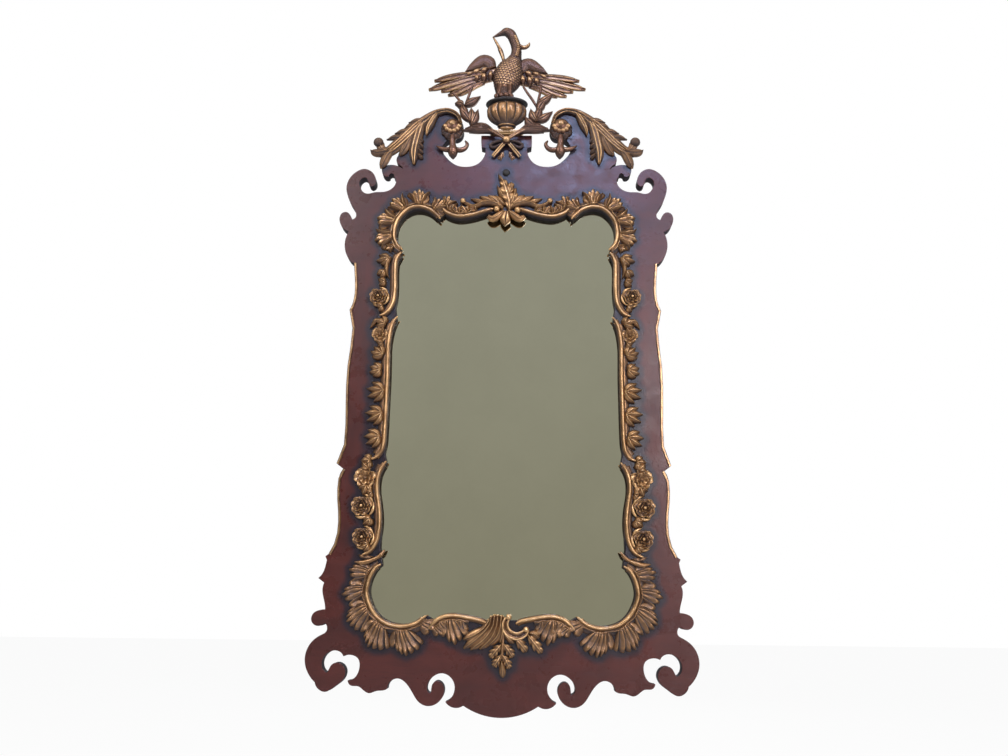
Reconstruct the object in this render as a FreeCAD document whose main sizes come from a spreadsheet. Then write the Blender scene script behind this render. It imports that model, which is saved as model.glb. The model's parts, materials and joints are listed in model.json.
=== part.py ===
import FreeCAD, Part
import math
import os

Vector = FreeCAD.Vector

# Carved wall mirror: pierced fret boards on a pine sub-frame, a gilt border round the sight,
# and a gilt crest with swan leaves, urn and bird.
# The wall is the plane y = 0 and the front looks along -Y.
# The origin lies midway between the hanger pivots.

doc = FreeCAD.newDocument("carved_mirror")

# Driving dimensions in millimetres
SIZES = (
    ("sight_half_width", 200, "axis to the nominal edge of the sight"),
    ("border_width", 120, "nominal sight edge to the outermost scroll"),
    ("apron_depth", 150, "apron's lowest point to the nominal foot of the sight"),
    ("sight_height", 730, "nominal height of the sight"),
    ("crest_rise", 230, "nominal head of the sight to the top of the swan necks"),
    ("board_thickness", 19, "fret boards"),
    ("lip_thickness", 10, "front lip that the rebate leaves over the glass"),
    ("glass_thickness", 4, "mirror glass"),
    ("glass_lap", 6, "glass hidden behind the widest part of the sight edge"),
    ("glass_clearance", 1, "play round the glass in its rebate"),
    ("backboard_thickness", 3, "panel behind the glass"),
    ("glazing_point_length", 14, "glazing point along the rebate wall"),
    ("glazing_point_reach", 9, "glazing point over the backboard"),
    ("glazing_point_thickness", 0.8, "glazing point sheet"),
    ("subframe_thickness", 16, "pine members behind the boards"),
    ("subframe_width", 32, "side and bottom members"),
    ("subframe_head_width", 21, "top member"),
    ("subframe_set_back", 2, "rebate wall to the members' inner edges"),
    ("batten_width", 56, "batten behind the crest"),
    ("bumper_thickness", 6, "felt pads between sub-frame and wall"),
    ("bumper_radius", 9, "felt pads"),
    ("bumper_inset", 16, "pad centre from the sub-frame's corner"),
    ("strap_width", 14, "hanger strap"),
    ("strap_length", 50, "hanger strap below the pivot"),
    ("strap_thickness", 1.2, "hanger strap sheet"),
    ("ring_wire", 2.6, "hanger ring wire diameter"),
    ("ring_width", 22, "hanger ring between its wire centres"),
    ("ring_drop", 19, "pivot to the ring's lowest wire centre"),
    ("ring_corner", 3, "bend radius at the ring's upper corners"),
    ("ring_clearance", 0.3, "play of the ring in the strap's loop"),
    ("screw_diameter", 4, "hanger screw shank"),
    ("screw_head_diameter", 8, "hanger screw head"),
    ("screw_head_height", 2, "hanger screw head"),
    ("screw_length", 12, "hanger screw in the wood"),
    ("screw_clearance", 0.1, "screw hole beyond the shank radius"),
    ("screw_first_drop", 28, "pivot to the upper screw"),
    ("screw_pitch", 14, "upper screw to lower screw"),
    ("bead_width", 4.5, "gilt bead on the stiles' outer edges"),
    ("bead_relief", 2.5, "bead proud of the board"),
    ("rail_width", 10, "gilt rails round the sight"),
    ("rail_relief", 8, "rails proud of the boards"),
    ("ruffle_relief", 6, "ruffles proud of the boards"),
    ("trail_relief", 9, "flowers and leaves on the stiles"),
    ("acanthus_relief", 11, "acanthus leaves"),
    ("swan_leaf_relief", 10, "leaves on the swan necks"),
    ("rosette_relief", 15, "rosettes"),
    ("pendant_relief", 12, "husk pendants"),
    ("cap_relief", 9, "plinth cap proud of the crest board"),
    ("branch_relief", 7, "crossed branches"),
    ("wing_relief", 9, "bird's wings"),
    ("left_wing_lift", 12, "left wing raised at its root, about its tip"),
    ("finial_stand_off", 4, "axis of urn and bird in front of the boards' face"),
    ("carving_gap", 0.3, "gap between neighbouring carvings"),
    ("tip_width", 0.8, "blunt end of a carved leaf"),
    ("overrun", 5, "cutting solids past the faces they cut"),
)

sheet = doc.addObject("Spreadsheet::Sheet", "sizes")
for row, (alias, value, note) in enumerate(SIZES, 1):
    sheet.set(f"A{row}", note)
    sheet.set(f"B{row}", str(value))
    sheet.setAlias(f"B{row}", alias)
doc.recompute()


def size(alias):
    """A driving dimension, read from the sheet."""
    return float(sheet.get(alias))


# The fret pattern is drawn on squares, as paper patterns for fretwork are.
# Columns count from the axis and rows from the apron's lowest point.
SIGHT_COLUMN_SHARES = 20
BORDER_COLUMN_SHARES = 12
APRON_ROW_SHARES = 15
SIGHT_ROW_SHARES = 73
CREST_ROW_SHARES = 23
HANGER_ROW_SHARE = 86


def across(columns):
    """Distance from the axis of a place given in pattern columns."""
    inside = min(abs(columns), SIGHT_COLUMN_SHARES)
    outside = abs(columns) - inside
    reach = inside * size("sight_half_width") / SIGHT_COLUMN_SHARES
    reach += outside * size("border_width") / BORDER_COLUMN_SHARES
    return math.copysign(reach, columns)


def height(rows):
    """Height above the apron's lowest point of a place given in pattern rows."""
    in_apron = min(rows, APRON_ROW_SHARES)
    in_sight = min(max(rows - APRON_ROW_SHARES, 0), SIGHT_ROW_SHARES)
    in_crest = max(rows - APRON_ROW_SHARES - SIGHT_ROW_SHARES, 0)
    total = in_apron * size("apron_depth") / APRON_ROW_SHARES
    total += in_sight * size("sight_height") / SIGHT_ROW_SHARES
    return total + in_crest * size("crest_rise") / CREST_ROW_SHARES


def rise(rows):
    """Height above the hanger pivots of a place given in pattern rows."""
    return height(rows) - height(HANGER_ROW_SHARE)


def spot(place, y=0):
    """Point of the pattern at a depth."""
    return Vector(across(place[0]), y, rise(place[1]))


BOARD_BACK = -size("bumper_thickness") - size("subframe_thickness")
BOARD_FRONT = BOARD_BACK - size("board_thickness")
SUBFRAME_BACK = -size("bumper_thickness")
FINIAL_AXIS = BOARD_FRONT - size("finial_stand_off")
GAP = size("carving_gap")

# Expressions that several pieces share
BOARD_BACK_DEPTH = "(sizes.bumper_thickness + sizes.subframe_thickness)"
BOARD_FRONT_DEPTH = "(sizes.bumper_thickness + sizes.subframe_thickness + sizes.board_thickness)"
REBATE_DEPTH = "(sizes.board_thickness - sizes.lip_thickness)"
PIVOT_HEIGHT = "(sizes.apron_depth + sizes.sight_height * 71 / 73)"
GLASS_HALF_WIDTH = "(sizes.sight_half_width + sizes.border_width * 2 / 12 + sizes.glass_lap)"
GLASS_FOOT = "(sizes.apron_depth * 14 / 15 - sizes.glass_lap)"
GLASS_HEAD = "(sizes.apron_depth + sizes.sight_height + sizes.crest_rise * 1.2 / 23 + sizes.glass_lap)"
FRAME_MARGIN = "(sizes.glass_clearance + sizes.subframe_set_back)"
FRAME_HALF_WIDTH = f"({GLASS_HALF_WIDTH} + {FRAME_MARGIN})"
FRAME_FOOT = f"({GLASS_FOOT} - {FRAME_MARGIN} - sizes.subframe_width)"
FRAME_HEAD = f"({GLASS_HEAD} + {FRAME_MARGIN} + sizes.subframe_head_width)"

sub_parts = []


def keep(feature, label):
    """Names a finished sub-part and lists it for writing."""
    feature.Label = label
    sub_parts.append(feature)
    return feature


def keep_pair(feature, name):
    """Keeps a right-hand sub-part and its mirror image on the left."""
    keep(feature, "right_" + name)
    twin = doc.addObject("Part::Mirroring", "left_" + name)
    twin.Source = feature
    twin.Base = Vector(0, 0, 0)
    twin.Normal = Vector(1, 0, 0)
    return keep(twin, "left_" + name)


def shape_feature(name, shape):
    """A document object round a shape that is worked out here."""
    feature = doc.addObject("Part::Feature", name)
    feature.Shape = shape
    feature.Placement = FreeCAD.Placement()
    return feature


def bound_box(name, x, y, z, length, width, tall):
    """A box whose corner and sizes are bound to the sheet."""
    box = doc.addObject("Part::Box", name)
    bindings = (
        ("Placement.Base.x", x), ("Placement.Base.y", y), ("Placement.Base.z", f"{z} - {PIVOT_HEIGHT}"),
        ("Length", length), ("Width", width), ("Height", tall),
    )
    for target, expression in bindings:
        box.setExpression(target, expression)
    return box


# Outlines drawn as runs between corners

def run_curve(points):
    """A line, an arc or a smooth curve through the points of one run."""
    if len(points) == 2:
        return Part.LineSegment(points[0], points[1])
    if len(points) == 3:
        return Part.Arc(points[0], points[1], points[2])
    curve = Part.BSplineCurve()
    curve.interpolate(points)
    return curve


def flat_point(place):
    """Pattern place in a front sketch's own plane."""
    return Vector(across(place[0]), rise(place[1]), 0)


def outline_curves(runs):
    """Sketch curves of an outline given as runs of places."""
    return [run_curve([flat_point(place) for place in run]) for run in runs]


def mirrored(runs):
    """The same runs on the other side of the axis, walked the other way."""
    return [[(-column, row) for column, row in reversed(run)] for run in reversed(runs)]


def front_body(name, runs, back_depth, thickness):
    """A body padded from an outline, its back face at a depth from the wall."""
    body = doc.addObject("PartDesign::Body", name)
    sketch = body.newObject("Sketcher::SketchObject", name + "_outline")
    plane = [item for item in body.Origin.OriginFeatures if item.Role == "XZ_Plane"][0]
    sketch.AttachmentSupport = [(plane, "")]
    sketch.MapMode = "FlatFace"
    sketch.setExpression("AttachmentOffset.Base.z", back_depth)
    sketch.addGeometry(outline_curves(runs), False)
    pad = body.newObject("PartDesign::Pad", name + "_pad")
    pad.Profile = sketch
    pad.setExpression("Length", thickness)
    sketch.Visibility = False
    return body


# Carved strips, leaves and flowers

def smooth_line(points, count):
    """Evenly spaced points on the smooth curve through a few given ones."""
    return run_curve(points).toShape().discretize(Number=count)


def across_line(line, index):
    """Unit direction square to a line in the front plane at one of its points."""
    ahead = line[min(index + 1, len(line) - 1)]
    behind = line[max(index - 1, 0)]
    along = (ahead - behind).normalize()
    return Vector(-along.z, 0, along.x)


EDGE_RELIEF_SHARE = 0.4


def strip_solid(line, lefts, rights, reliefs, back):
    """Ruled solid along a line: flat behind, low at both edges and ridged along the line."""
    wires = []
    for index, point in enumerate(line):
        side = across_line(line, index)
        edge = reliefs[index] * EDGE_RELIEF_SHARE
        corners = (
            (-lefts[index], 0), (-lefts[index], edge), (0, reliefs[index]),
            (rights[index], edge), (rights[index], 0),
        )
        ring = [point + side * sideways + Vector(0, back - proud, 0) for sideways, proud in corners]
        wires.append(Part.makePolygon(ring + ring[:1]))
    return Part.makeLoft(wires, True, True)


def blend_shares(shares, count):
    """A short list of shares spread over more stations."""
    spread = []
    for index in range(count):
        place = index * (len(shares) - 1) / (count - 1)
        low = min(int(place), len(shares) - 2)
        spread.append(shares[low] + (shares[low + 1] - shares[low]) * (place - low))
    return spread


LEAF_WIDTH_SHARES = (0.35, 0.8, 1.0, 0.9, 0.55, 0.0)
LEAF_RELIEF_SHARES = (0.6, 0.9, 1.0, 0.9, 0.7, 0.4)
STEM_WIDTH_SHARES = (1.0, 1.0, 0.9, 0.7, 0.3)
FEATHER_WIDTH_SHARES = (0.5, 0.75, 0.9, 1.0, 1.0, 0.3)


def leaf_solid(places, width_columns, relief, back, width_shares=LEAF_WIDTH_SHARES, count=7):
    """A pointed leaf along the smooth line through its places."""
    line = smooth_line([spot(place) for place in places], count)
    tip = size("tip_width") / 2
    half = across(width_columns) / 2
    halves = [tip + (half - tip) * share for share in blend_shares(width_shares, count)]
    reliefs = [relief * share for share in blend_shares(LEAF_RELIEF_SHARES, count)]
    return strip_solid(line, halves, halves, reliefs, back)


def lobed_ring(centre, reach, lobes, valley_share, first, second):
    """Closed polygon round a centre, its corners alternating between lobe tips and valleys."""
    corners = []
    for index in range(2 * lobes):
        angle = math.pi * index / lobes
        radius = reach * (1 if index % 2 else valley_share)
        corners.append(centre + first * (radius * math.cos(angle)) + second * (radius * math.sin(angle)))
    return Part.makePolygon(corners + corners[:1])


FLOWER_LEVEL_SHARES = ((1.0, 0.0), (1.0, 0.35), (0.72, 0.8), (0.3, 1.0))


def flower_solid(place, radius_columns, lobes, relief, back):
    """A domed flower with lobed petals."""
    wires = []
    for reach_share, relief_share in FLOWER_LEVEL_SHARES:
        centre = spot(place, back - relief * relief_share)
        reach = across(radius_columns) * reach_share
        wires.append(lobed_ring(centre, reach, lobes, FLOWER_VALLEY_SHARE, Vector(1, 0, 0),
                                Vector(0, 0, 1)))
    return Part.makeLoft(wires, True, True)


FLOWER_VALLEY_SHARE = 0.84


def fused(solids):
    """One solid from carvings that grow into each other."""
    return solids[0].multiFuse(solids[1:]).removeSplitter()


# Fret boards

APRON_CENTRE_SHARES = [(-6.0, 1.75), (0, 0), (6.0, 1.75)]
APRON_SHARES = [
    [(6.0, 1.75), (7.5, 1.42), (8.9, 2.3)],
    [(8.9, 2.3), (7.9, 3.0), (7.45, 4.6), (8.1, 5.95), (9.6, 6.6), (11.0, 6.05), (11.85, 4.8),
     (11.8, 3.9), (11.25, 3.6)],
    [(11.25, 3.6), (11.2, 4.3), (11.0, 5.0), (10.3, 5.45), (9.5, 5.1), (9.1, 4.2), (9.4, 2.95),
     (10.3, 2.0), (11.7, 1.62), (13.1, 2.15), (14.2, 3.55), (15.2, 4.9), (16.7, 5.72),
     (17.9, 5.2), (18.3, 4.15)],
    [(18.3, 4.15), (19.0, 3.88), (20.0, 3.8), (21.2, 3.45), (22.3, 4.0), (23.0, 4.45), (23.9, 4.5),
     (24.8, 5.35)],
    [(24.8, 5.35), (23.7, 5.75), (23.0, 7.2), (23.3, 8.7), (24.5, 9.25), (25.7, 9.0)],
    [(25.7, 9.0), (26.5, 9.8), (27.6, 9.85), (28.7, 9.15), (29.15, 8.0), (28.8, 6.9), (28.2, 6.5)],
    [(28.2, 6.5), (27.95, 7.0), (27.5, 7.75), (26.6, 8.05), (25.6, 7.55), (25.2, 6.6), (25.6, 5.4),
     (26.8, 4.4), (28.4, 3.56), (29.5, 4.0), (30.1, 5.0)],
    [(30.1, 5.0), (31.2, 6.2), (32.0, 8.6), (31.3, 10.9), (29.6, 12.3), (28.75, 12.9), (28.7, 13.6),
     (29.1, 14.15)],
    [(29.1, 14.15), (29.8, 13.75), (30.8, 13.85), (31.4, 14.7), (31.1, 15.7), (30.2, 16.2),
     (29.2, 16.35)],
    [(29.2, 16.35), (29.45, 17.7), (29.85, 19.3), (29.65, 20.6)],
    [(29.65, 20.6), (30.7, 21.35)],
    [(30.7, 21.35), (30.0, 22.15), (29.6, 23.4), (29.45, 24.3)],
    [(29.45, 24.3), (29.75, 24.9)],
    [(29.75, 24.9), (29.2, 25.3)],
]
APRON_JOINT_ROW_SHARE = 25.3

STILE_EDGE_SHARES = [
    [(29.2, 25.3), (28.5, 26.6), (28.05, 28.2), (27.9, 30.0), (28.05, 32.5), (28.4, 35.3), (28.4, 37.2),
     (28.1, 39.0), (27.65, 39.7)],
    [(27.65, 39.7), (28.85, 40.6)],
    [(28.85, 40.6), (28.25, 41.7), (27.8, 43.6), (27.7, 46.5), (27.85, 50.0), (28.05, 54.5), (28.0, 58.5),
     (27.65, 62.5), (27.55, 65.0), (27.8, 67.2), (28.3, 68.8)],
    [(28.3, 68.8), (27.75, 70.3), (27.55, 72.3), (27.7, 75.0), (28.0, 78.0)],
]
STILE_INNER_COLUMN_SHARE = 15
CREST_JOINT_ROW_SHARE = 78

CREST_SHARES = [
    [(28.0, 78.0), (28.6, 78.35)],
    [(28.6, 78.35), (29.5, 79.6), (30.0, 81.2), (30.0, 82.8), (29.45, 84.5)],
    [(29.45, 84.5), (30.4, 85.0), (31.2, 86.3), (31.35, 87.4), (30.85, 88.35), (30.1, 88.5), (29.4, 87.9),
     (28.95, 86.95)],
    [(28.95, 86.95), (28.3, 87.5), (28.5, 88.8), (29.3, 90.1), (30.1, 91.9), (30.45, 93.7), (29.9, 95.7),
     (28.6, 97.1), (27.2, 97.6), (25.8, 97.0), (24.95, 95.6), (24.95, 94.4), (25.55, 93.85)],
    [(25.55, 93.85), (26.15, 94.3), (26.45, 95.2), (27.0, 95.75), (27.8, 95.3), (28.05, 94.4),
     (27.7, 93.4), (27.0, 92.55), (26.2, 92.35), (25.0, 92.65), (23.7, 92.7), (22.2, 93.1),
     (21.2, 94.2), (21.05, 95.3),
     (21.5, 96.0)],
    [(21.5, 96.0), (22.0, 96.65), (22.4, 96.1)],
    [(22.4, 96.1), (23.0, 95.95), (23.5, 96.3), (23.85, 97.2), (23.75, 98.0)],
    [(23.75, 98.0), (22.6, 98.45), (21.4, 98.4), (20.6, 98.1), (19.8, 97.6)],
    [(19.8, 97.6), (20.3, 98.25), (20.9, 98.75), (21.15, 99.5), (20.9, 100.4)],
    [(20.9, 100.4), (20.0, 103.3), (19.0, 105.3), (17.6, 107.2), (15.8, 108.8), (13.8, 109.8),
     (11.9, 110.0), (10.1, 109.3), (8.8, 107.9), (8.35, 106.2), (8.7, 104.9), (9.7, 104.2)],
    [(9.7, 104.2), (11.2, 103.9), (12.2, 102.8), (12.3, 101.4), (11.4, 99.9), (9.6, 98.4), (7.5, 98.05),
     (5.6, 98.6), (4.4, 100.0), (4.05, 102.1)],
    [(4.05, 102.1), (4.8, 102.35)],
    [(4.8, 102.35), (4.9, 103.4)],
    [(4.9, 103.4), (4.9, 104.8)],
]

SIGHT_SHARES = [
    [(2.5, 14.9), (5.0, 15.4), (8.0, 15.85), (10.0, 15.45), (11.3, 14.9)],
    [(11.3, 14.9), (12.2, 15.5)],
    [(12.2, 15.5), (14.3, 14.5), (16.6, 14.05), (19.0, 14.65), (20.9, 16.3), (22.0, 18.7), (21.9, 20.8),
     (21.0, 22.7), (20.1, 23.5)],
    [(20.1, 23.5), (20.6, 26.5)],
    [(20.6, 26.5), (20.6, 30.5), (20.8, 33.0), (21.3, 35.8), (21.3, 38.0), (20.8, 39.6), (20.2, 40.7)],
    [(20.2, 40.7), (20.6, 42.5)],
    [(20.6, 42.5), (20.5, 47.0), (20.5, 56.0), (20.6, 60.0), (20.6, 62.5), (20.3, 64.9), (19.6, 66.9)],
    [(19.6, 66.9), (20.0, 69.5)],
    [(20.0, 69.5), (19.9, 73.0), (20.0, 76.0), (20.0, 78.0), (19.4, 79.6)],
    [(19.4, 79.6), (19.4, 81.0)],
    [(19.4, 81.0), (19.95, 81.8), (20.45, 83.4), (20.35, 85.5), (19.5, 87.35), (18.0, 88.75),
     (16.3, 89.15), (14.6, 88.65), (13.4, 87.75), (12.6, 87.0)],
    [(12.6, 87.0), (11.6, 88.2)],
    [(11.6, 88.2), (9.8, 87.35), (8.3, 87.15), (6.0, 87.55), (3.6, 88.35)],
]


def both_sides(runs):
    """Right-hand runs, a level line at their end, and the mirrored runs on the left."""
    column, row = runs[-1][-1]
    return runs + [[(column, row), (-column, row)]] + mirrored(runs)


def closed_outline(runs):
    """Both sides of an outline, closed by a level line where it starts."""
    column, row = runs[0][0]
    return both_sides(runs) + [[(-column, row), (column, row)]]


def glass_space():
    """The sight opening and the rebate behind it, cut out of all four boards."""
    sight = front_body(
        "sight_cut", closed_outline(SIGHT_SHARES), f"{BOARD_BACK_DEPTH} - sizes.overrun",
        "sizes.board_thickness + 2 * sizes.overrun",
    )
    rebate = bound_box(
        "rebate_cut", f"-{GLASS_HALF_WIDTH} - sizes.glass_clearance",
        f"-{BOARD_BACK_DEPTH} - {REBATE_DEPTH}", f"{GLASS_FOOT} - sizes.glass_clearance",
        f"2 * ({GLASS_HALF_WIDTH} + sizes.glass_clearance)", f"{REBATE_DEPTH} + sizes.overrun",
        f"{GLASS_HEAD} - {GLASS_FOOT} + 2 * sizes.glass_clearance",
    )
    space = doc.addObject("Part::Fuse", "glass_space")
    space.Base = sight
    space.Tool = rebate
    return space


def fret_board(name, runs, space):
    """A shaped board with the sight and the rebate cut out."""
    blank = front_body(name + "_blank", runs, BOARD_BACK_DEPTH, "sizes.board_thickness")
    board = doc.addObject("Part::Cut", name)
    board.Base = blank
    board.Tool = space
    return board


def make_boards():
    """Apron, stile and crest boards."""
    space = glass_space()
    apron = both_sides(APRON_SHARES) + [APRON_CENTRE_SHARES]
    keep(fret_board("apron_board", apron, space), "apron_board")
    inner = STILE_INNER_COLUMN_SHARE
    foot = STILE_EDGE_SHARES[0][0]
    head = STILE_EDGE_SHARES[-1][-1]
    stile = STILE_EDGE_SHARES + [
        [head, (inner, CREST_JOINT_ROW_SHARE)],
        [(inner, CREST_JOINT_ROW_SHARE), (inner, APRON_JOINT_ROW_SHARE)],
        [(inner, APRON_JOINT_ROW_SHARE), foot],
    ]
    keep_pair(fret_board("right_stile_board", stile, space), "stile_board")
    keep(fret_board("crest_board", closed_outline(CREST_SHARES), space), "crest_board")


# Frame behind the boards

def make_subframe():
    """Pine members glued behind the boards, and the batten that carries the crest."""
    back = f"-{BOARD_BACK_DEPTH}"
    thick = "sizes.subframe_thickness"
    tall = f"{FRAME_HEAD} - {FRAME_FOOT}"
    stile = bound_box("right_subframe_blank", FRAME_HALF_WIDTH, back, FRAME_FOOT,
                      "sizes.subframe_width", thick, tall)
    holes = shape_feature("screw_holes", Part.makeCompound([screw_hole(drop) for drop in screw_drops()]))
    drilled = doc.addObject("Part::Cut", "right_subframe_stile")
    drilled.Base = stile
    drilled.Tool = holes
    keep_pair(drilled, "subframe_stile")
    wide = f"2 * {FRAME_HALF_WIDTH}"
    left = f"-{FRAME_HALF_WIDTH}"
    foot = bound_box("subframe_bottom_rail", left, back, FRAME_FOOT, wide, thick, "sizes.subframe_width")
    keep(foot, "subframe_bottom_rail")
    head_foot = f"{FRAME_HEAD} - sizes.subframe_head_width"
    head = bound_box("subframe_top_rail", left, back, head_foot, wide, thick, "sizes.subframe_head_width")
    keep(head, "subframe_top_rail")
    batten = bound_box(
        "crest_batten", "-sizes.batten_width / 2", back, FRAME_HEAD, "sizes.batten_width", thick,
        f"sizes.apron_depth + sizes.sight_height + sizes.crest_rise * 16 / 23 - {FRAME_HEAD}",
    )
    keep(batten, "crest_batten")


def make_glazing():
    """Glass and backboard in the rebate, and the points that hold them there."""
    left = f"-{GLASS_HALF_WIDTH}"
    wide = f"2 * {GLASS_HALF_WIDTH}"
    tall = f"{GLASS_HEAD} - {GLASS_FOOT}"
    glass_back = f"-{BOARD_BACK_DEPTH} - {REBATE_DEPTH} + sizes.glass_thickness"
    glass_front = f"{glass_back} - sizes.glass_thickness"
    glass = bound_box("mirror_glass", left, glass_front, GLASS_FOOT, wide, "sizes.glass_thickness", tall)
    keep(glass, "mirror_glass")
    panel = bound_box("backboard", left, glass_back, GLASS_FOOT, wide, "sizes.backboard_thickness", tall)
    keep(panel, "backboard")
    keep(shape_feature("glazing_points", Part.makeCompound(glazing_points())), "glazing_points")


GLASS_EDGE_COLUMN_SHARE = 22
GLASS_FOOT_ROW_SHARE = 14
GLASS_HEAD_ROW_SHARE = 89.2
POINT_ROW_SHARES = (30, 52, 74)
POINT_COLUMN_SHARES = (-12, 12)


def glazing_points():
    """Small sheet tabs that lie on the backboard against the rebate's walls."""
    long = size("glazing_point_length")
    deep = size("glazing_point_reach")
    thin = size("glazing_point_thickness")
    margin = size("glass_lap") + size("glass_clearance")
    side = across(GLASS_EDGE_COLUMN_SHARE) + margin
    foot = rise(GLASS_FOOT_ROW_SHARE) - margin
    head = rise(GLASS_HEAD_ROW_SHARE) + margin
    y = BOARD_FRONT + size("lip_thickness") + size("glass_thickness") + size("backboard_thickness")
    tabs = []
    for row in POINT_ROW_SHARES:
        tabs.append(Part.makeBox(deep, thin, long, Vector(-side, y, rise(row))))
        tabs.append(Part.makeBox(deep, thin, long, Vector(side - deep, y, rise(row))))
    for column in POINT_COLUMN_SHARES:
        tabs.append(Part.makeBox(long, thin, deep, Vector(across(column) - long / 2, y, foot)))
        tabs.append(Part.makeBox(long, thin, deep, Vector(across(column) - long / 2, y, head - deep)))
    return tabs


def frame_corner():
    """Right-hand outer corner of the sub-frame: its half width, foot and head."""
    margin = size("glass_lap") + size("glass_clearance") + size("subframe_set_back")
    side = across(GLASS_EDGE_COLUMN_SHARE) + margin + size("subframe_width")
    foot = rise(GLASS_FOOT_ROW_SHARE) - margin - size("subframe_width")
    head = rise(GLASS_HEAD_ROW_SHARE) + margin + size("subframe_head_width")
    return side, foot, head


def make_bumpers():
    """Felt pads at the sub-frame's corners, which keep it off the wall."""
    side, foot, head = frame_corner()
    inset = size("bumper_inset")
    pads = []
    for x in (inset - side, side - inset):
        for z in (foot + inset, head - inset):
            place = Vector(x, SUBFRAME_BACK, z)
            pads.append(Part.makeCylinder(size("bumper_radius"), size("bumper_thickness"), place,
                                          Vector(0, 1, 0)))
    keep(shape_feature("wall_bumpers", Part.makeCompound(pads)), "wall_bumpers")


# Strap hangers

def hanger_x():
    """Hangers stand on the middle of the sub-frame's stiles."""
    return frame_corner()[0] - size("subframe_width") / 2


def loop_radius():
    """Inside radius of the strap's loop."""
    return size("ring_wire") / 2 + size("ring_clearance")


def pivot_y():
    """Depth of the ring's axis."""
    return SUBFRAME_BACK + loop_radius() + size("strap_thickness")


def screw_drops():
    """Heights of the screws below the pivot."""
    first = size("screw_first_drop")
    return (first, first + size("screw_pitch"))


def screw_hole(drop):
    """Drilled hole for one screw, through the strap and into the wood."""
    radius = size("screw_diameter") / 2 + size("screw_clearance")
    start = Vector(hanger_x(), SUBFRAME_BACK + size("strap_thickness") + size("overrun"), -drop)
    deep = size("overrun") + size("strap_thickness") + size("screw_length") + size("screw_clearance")
    return Part.makeCylinder(radius, deep, start, Vector(0, -1, 0))


def screw_solid(x, drop):
    """Round-headed screw seated on the strap."""
    seat = Vector(x, SUBFRAME_BACK + size("strap_thickness"), -drop)
    head = Part.makeCylinder(size("screw_head_diameter") / 2, size("screw_head_height"), seat,
                             Vector(0, 1, 0))
    deep = size("strap_thickness") + size("screw_length")
    shank = Part.makeCylinder(size("screw_diameter") / 2, deep, seat, Vector(0, -1, 0))
    return head.fuse(shank).removeSplitter()


def strap_shape():
    """Sheet strap rolled into a loop at its head."""
    thick = size("strap_thickness")
    wide = size("strap_width")
    left = hanger_x() - wide / 2
    plate = Part.makeBox(wide, thick, size("strap_length"),
                         Vector(left, SUBFRAME_BACK, -size("strap_length")))
    axis = Vector(left, pivot_y(), 0)
    roll = Part.makeCylinder(loop_radius() + thick, wide, axis, Vector(1, 0, 0))
    bore = Part.makeCylinder(loop_radius(), wide, axis, Vector(1, 0, 0))
    strap = plate.fuse(roll).cut(bore)
    for drop in screw_drops():
        strap = strap.cut(screw_hole(drop))
    return strap.removeSplitter()


def ring_shape():
    """D-shaped wire ring that hangs from the strap's loop."""
    centre = Vector(hanger_x(), pivot_y(), 0)
    half = size("ring_width") / 2
    bend = size("ring_corner")
    low = size("ring_drop") - half
    turn = bend * (1 - math.sqrt(0.5))

    def at(x, z):
        return centre + Vector(x, 0, z)

    edges = [
        Part.LineSegment(at(0, 0), at(half - bend, 0)),
        Part.Arc(at(half - bend, 0), at(half - turn, -turn), at(half, -bend)),
        Part.LineSegment(at(half, -bend), at(half, -low)),
        Part.Arc(at(half, -low), at(0, -low - half), at(-half, -low)),
        Part.LineSegment(at(-half, -low), at(-half, -bend)),
        Part.Arc(at(-half, -bend), at(turn - half, -turn), at(bend - half, 0)),
        Part.LineSegment(at(bend - half, 0), at(0, 0)),
    ]
    path = Part.Wire([edge.toShape() for edge in edges])
    section = Part.Wire(Part.makeCircle(size("ring_wire") / 2, centre, Vector(1, 0, 0)))
    return path.makePipeShell([section], True, False)


def make_hangers():
    """Two strap hangers with rings and screws."""
    keep_pair(shape_feature("right_hanger_strap", strap_shape()), "hanger_strap")
    keep_pair(shape_feature("right_hanger_ring", ring_shape()), "hanger_ring")
    screws = [screw_solid(x, drop) for x in (-hanger_x(), hanger_x()) for drop in screw_drops()]
    keep(shape_feature("hanger_screws", Part.makeCompound(screws)), "hanger_screws")


# Gilt border

BEAD_STATIONS_PER_RUN = 9


def make_edge_beads():
    """Gilt beads along the three long curves of each stile's outer edge."""
    beads = []
    for run in STILE_EDGE_SHARES:
        if len(run) > 2:
            line = smooth_line([spot(place) for place in run], BEAD_STATIONS_PER_RUN)
            wide = [size("bead_width")] * len(line)
            none = [0] * len(line)
            relief = [size("bead_relief")] * len(line)
            beads.append(bead_solid(line, wide, none, relief))
    keep_pair(shape_feature("right_edge_bead", Part.makeCompound(beads)), "edge_bead")


def bead_solid(line, inner, outer, reliefs):
    """Flat-backed strip with bevelled edges whose outer side lies on the line."""
    wires = []
    for index, point in enumerate(line):
        side = across_line(line, index)
        bevel = reliefs[index] * EDGE_RELIEF_SHARE
        corners = (
            (outer[index], 0), (outer[index], reliefs[index] - bevel), (outer[index] + bevel,
                                                                        reliefs[index]),
            (inner[index] - bevel, reliefs[index]), (inner[index], 0),
        )
        ring = [point + side * sideways + Vector(0, BOARD_FRONT - proud, 0) for sideways,
                proud in corners]
        wires.append(Part.makePolygon(ring + ring[:1]))
    return Part.makeLoft(wires, True, True)


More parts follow.
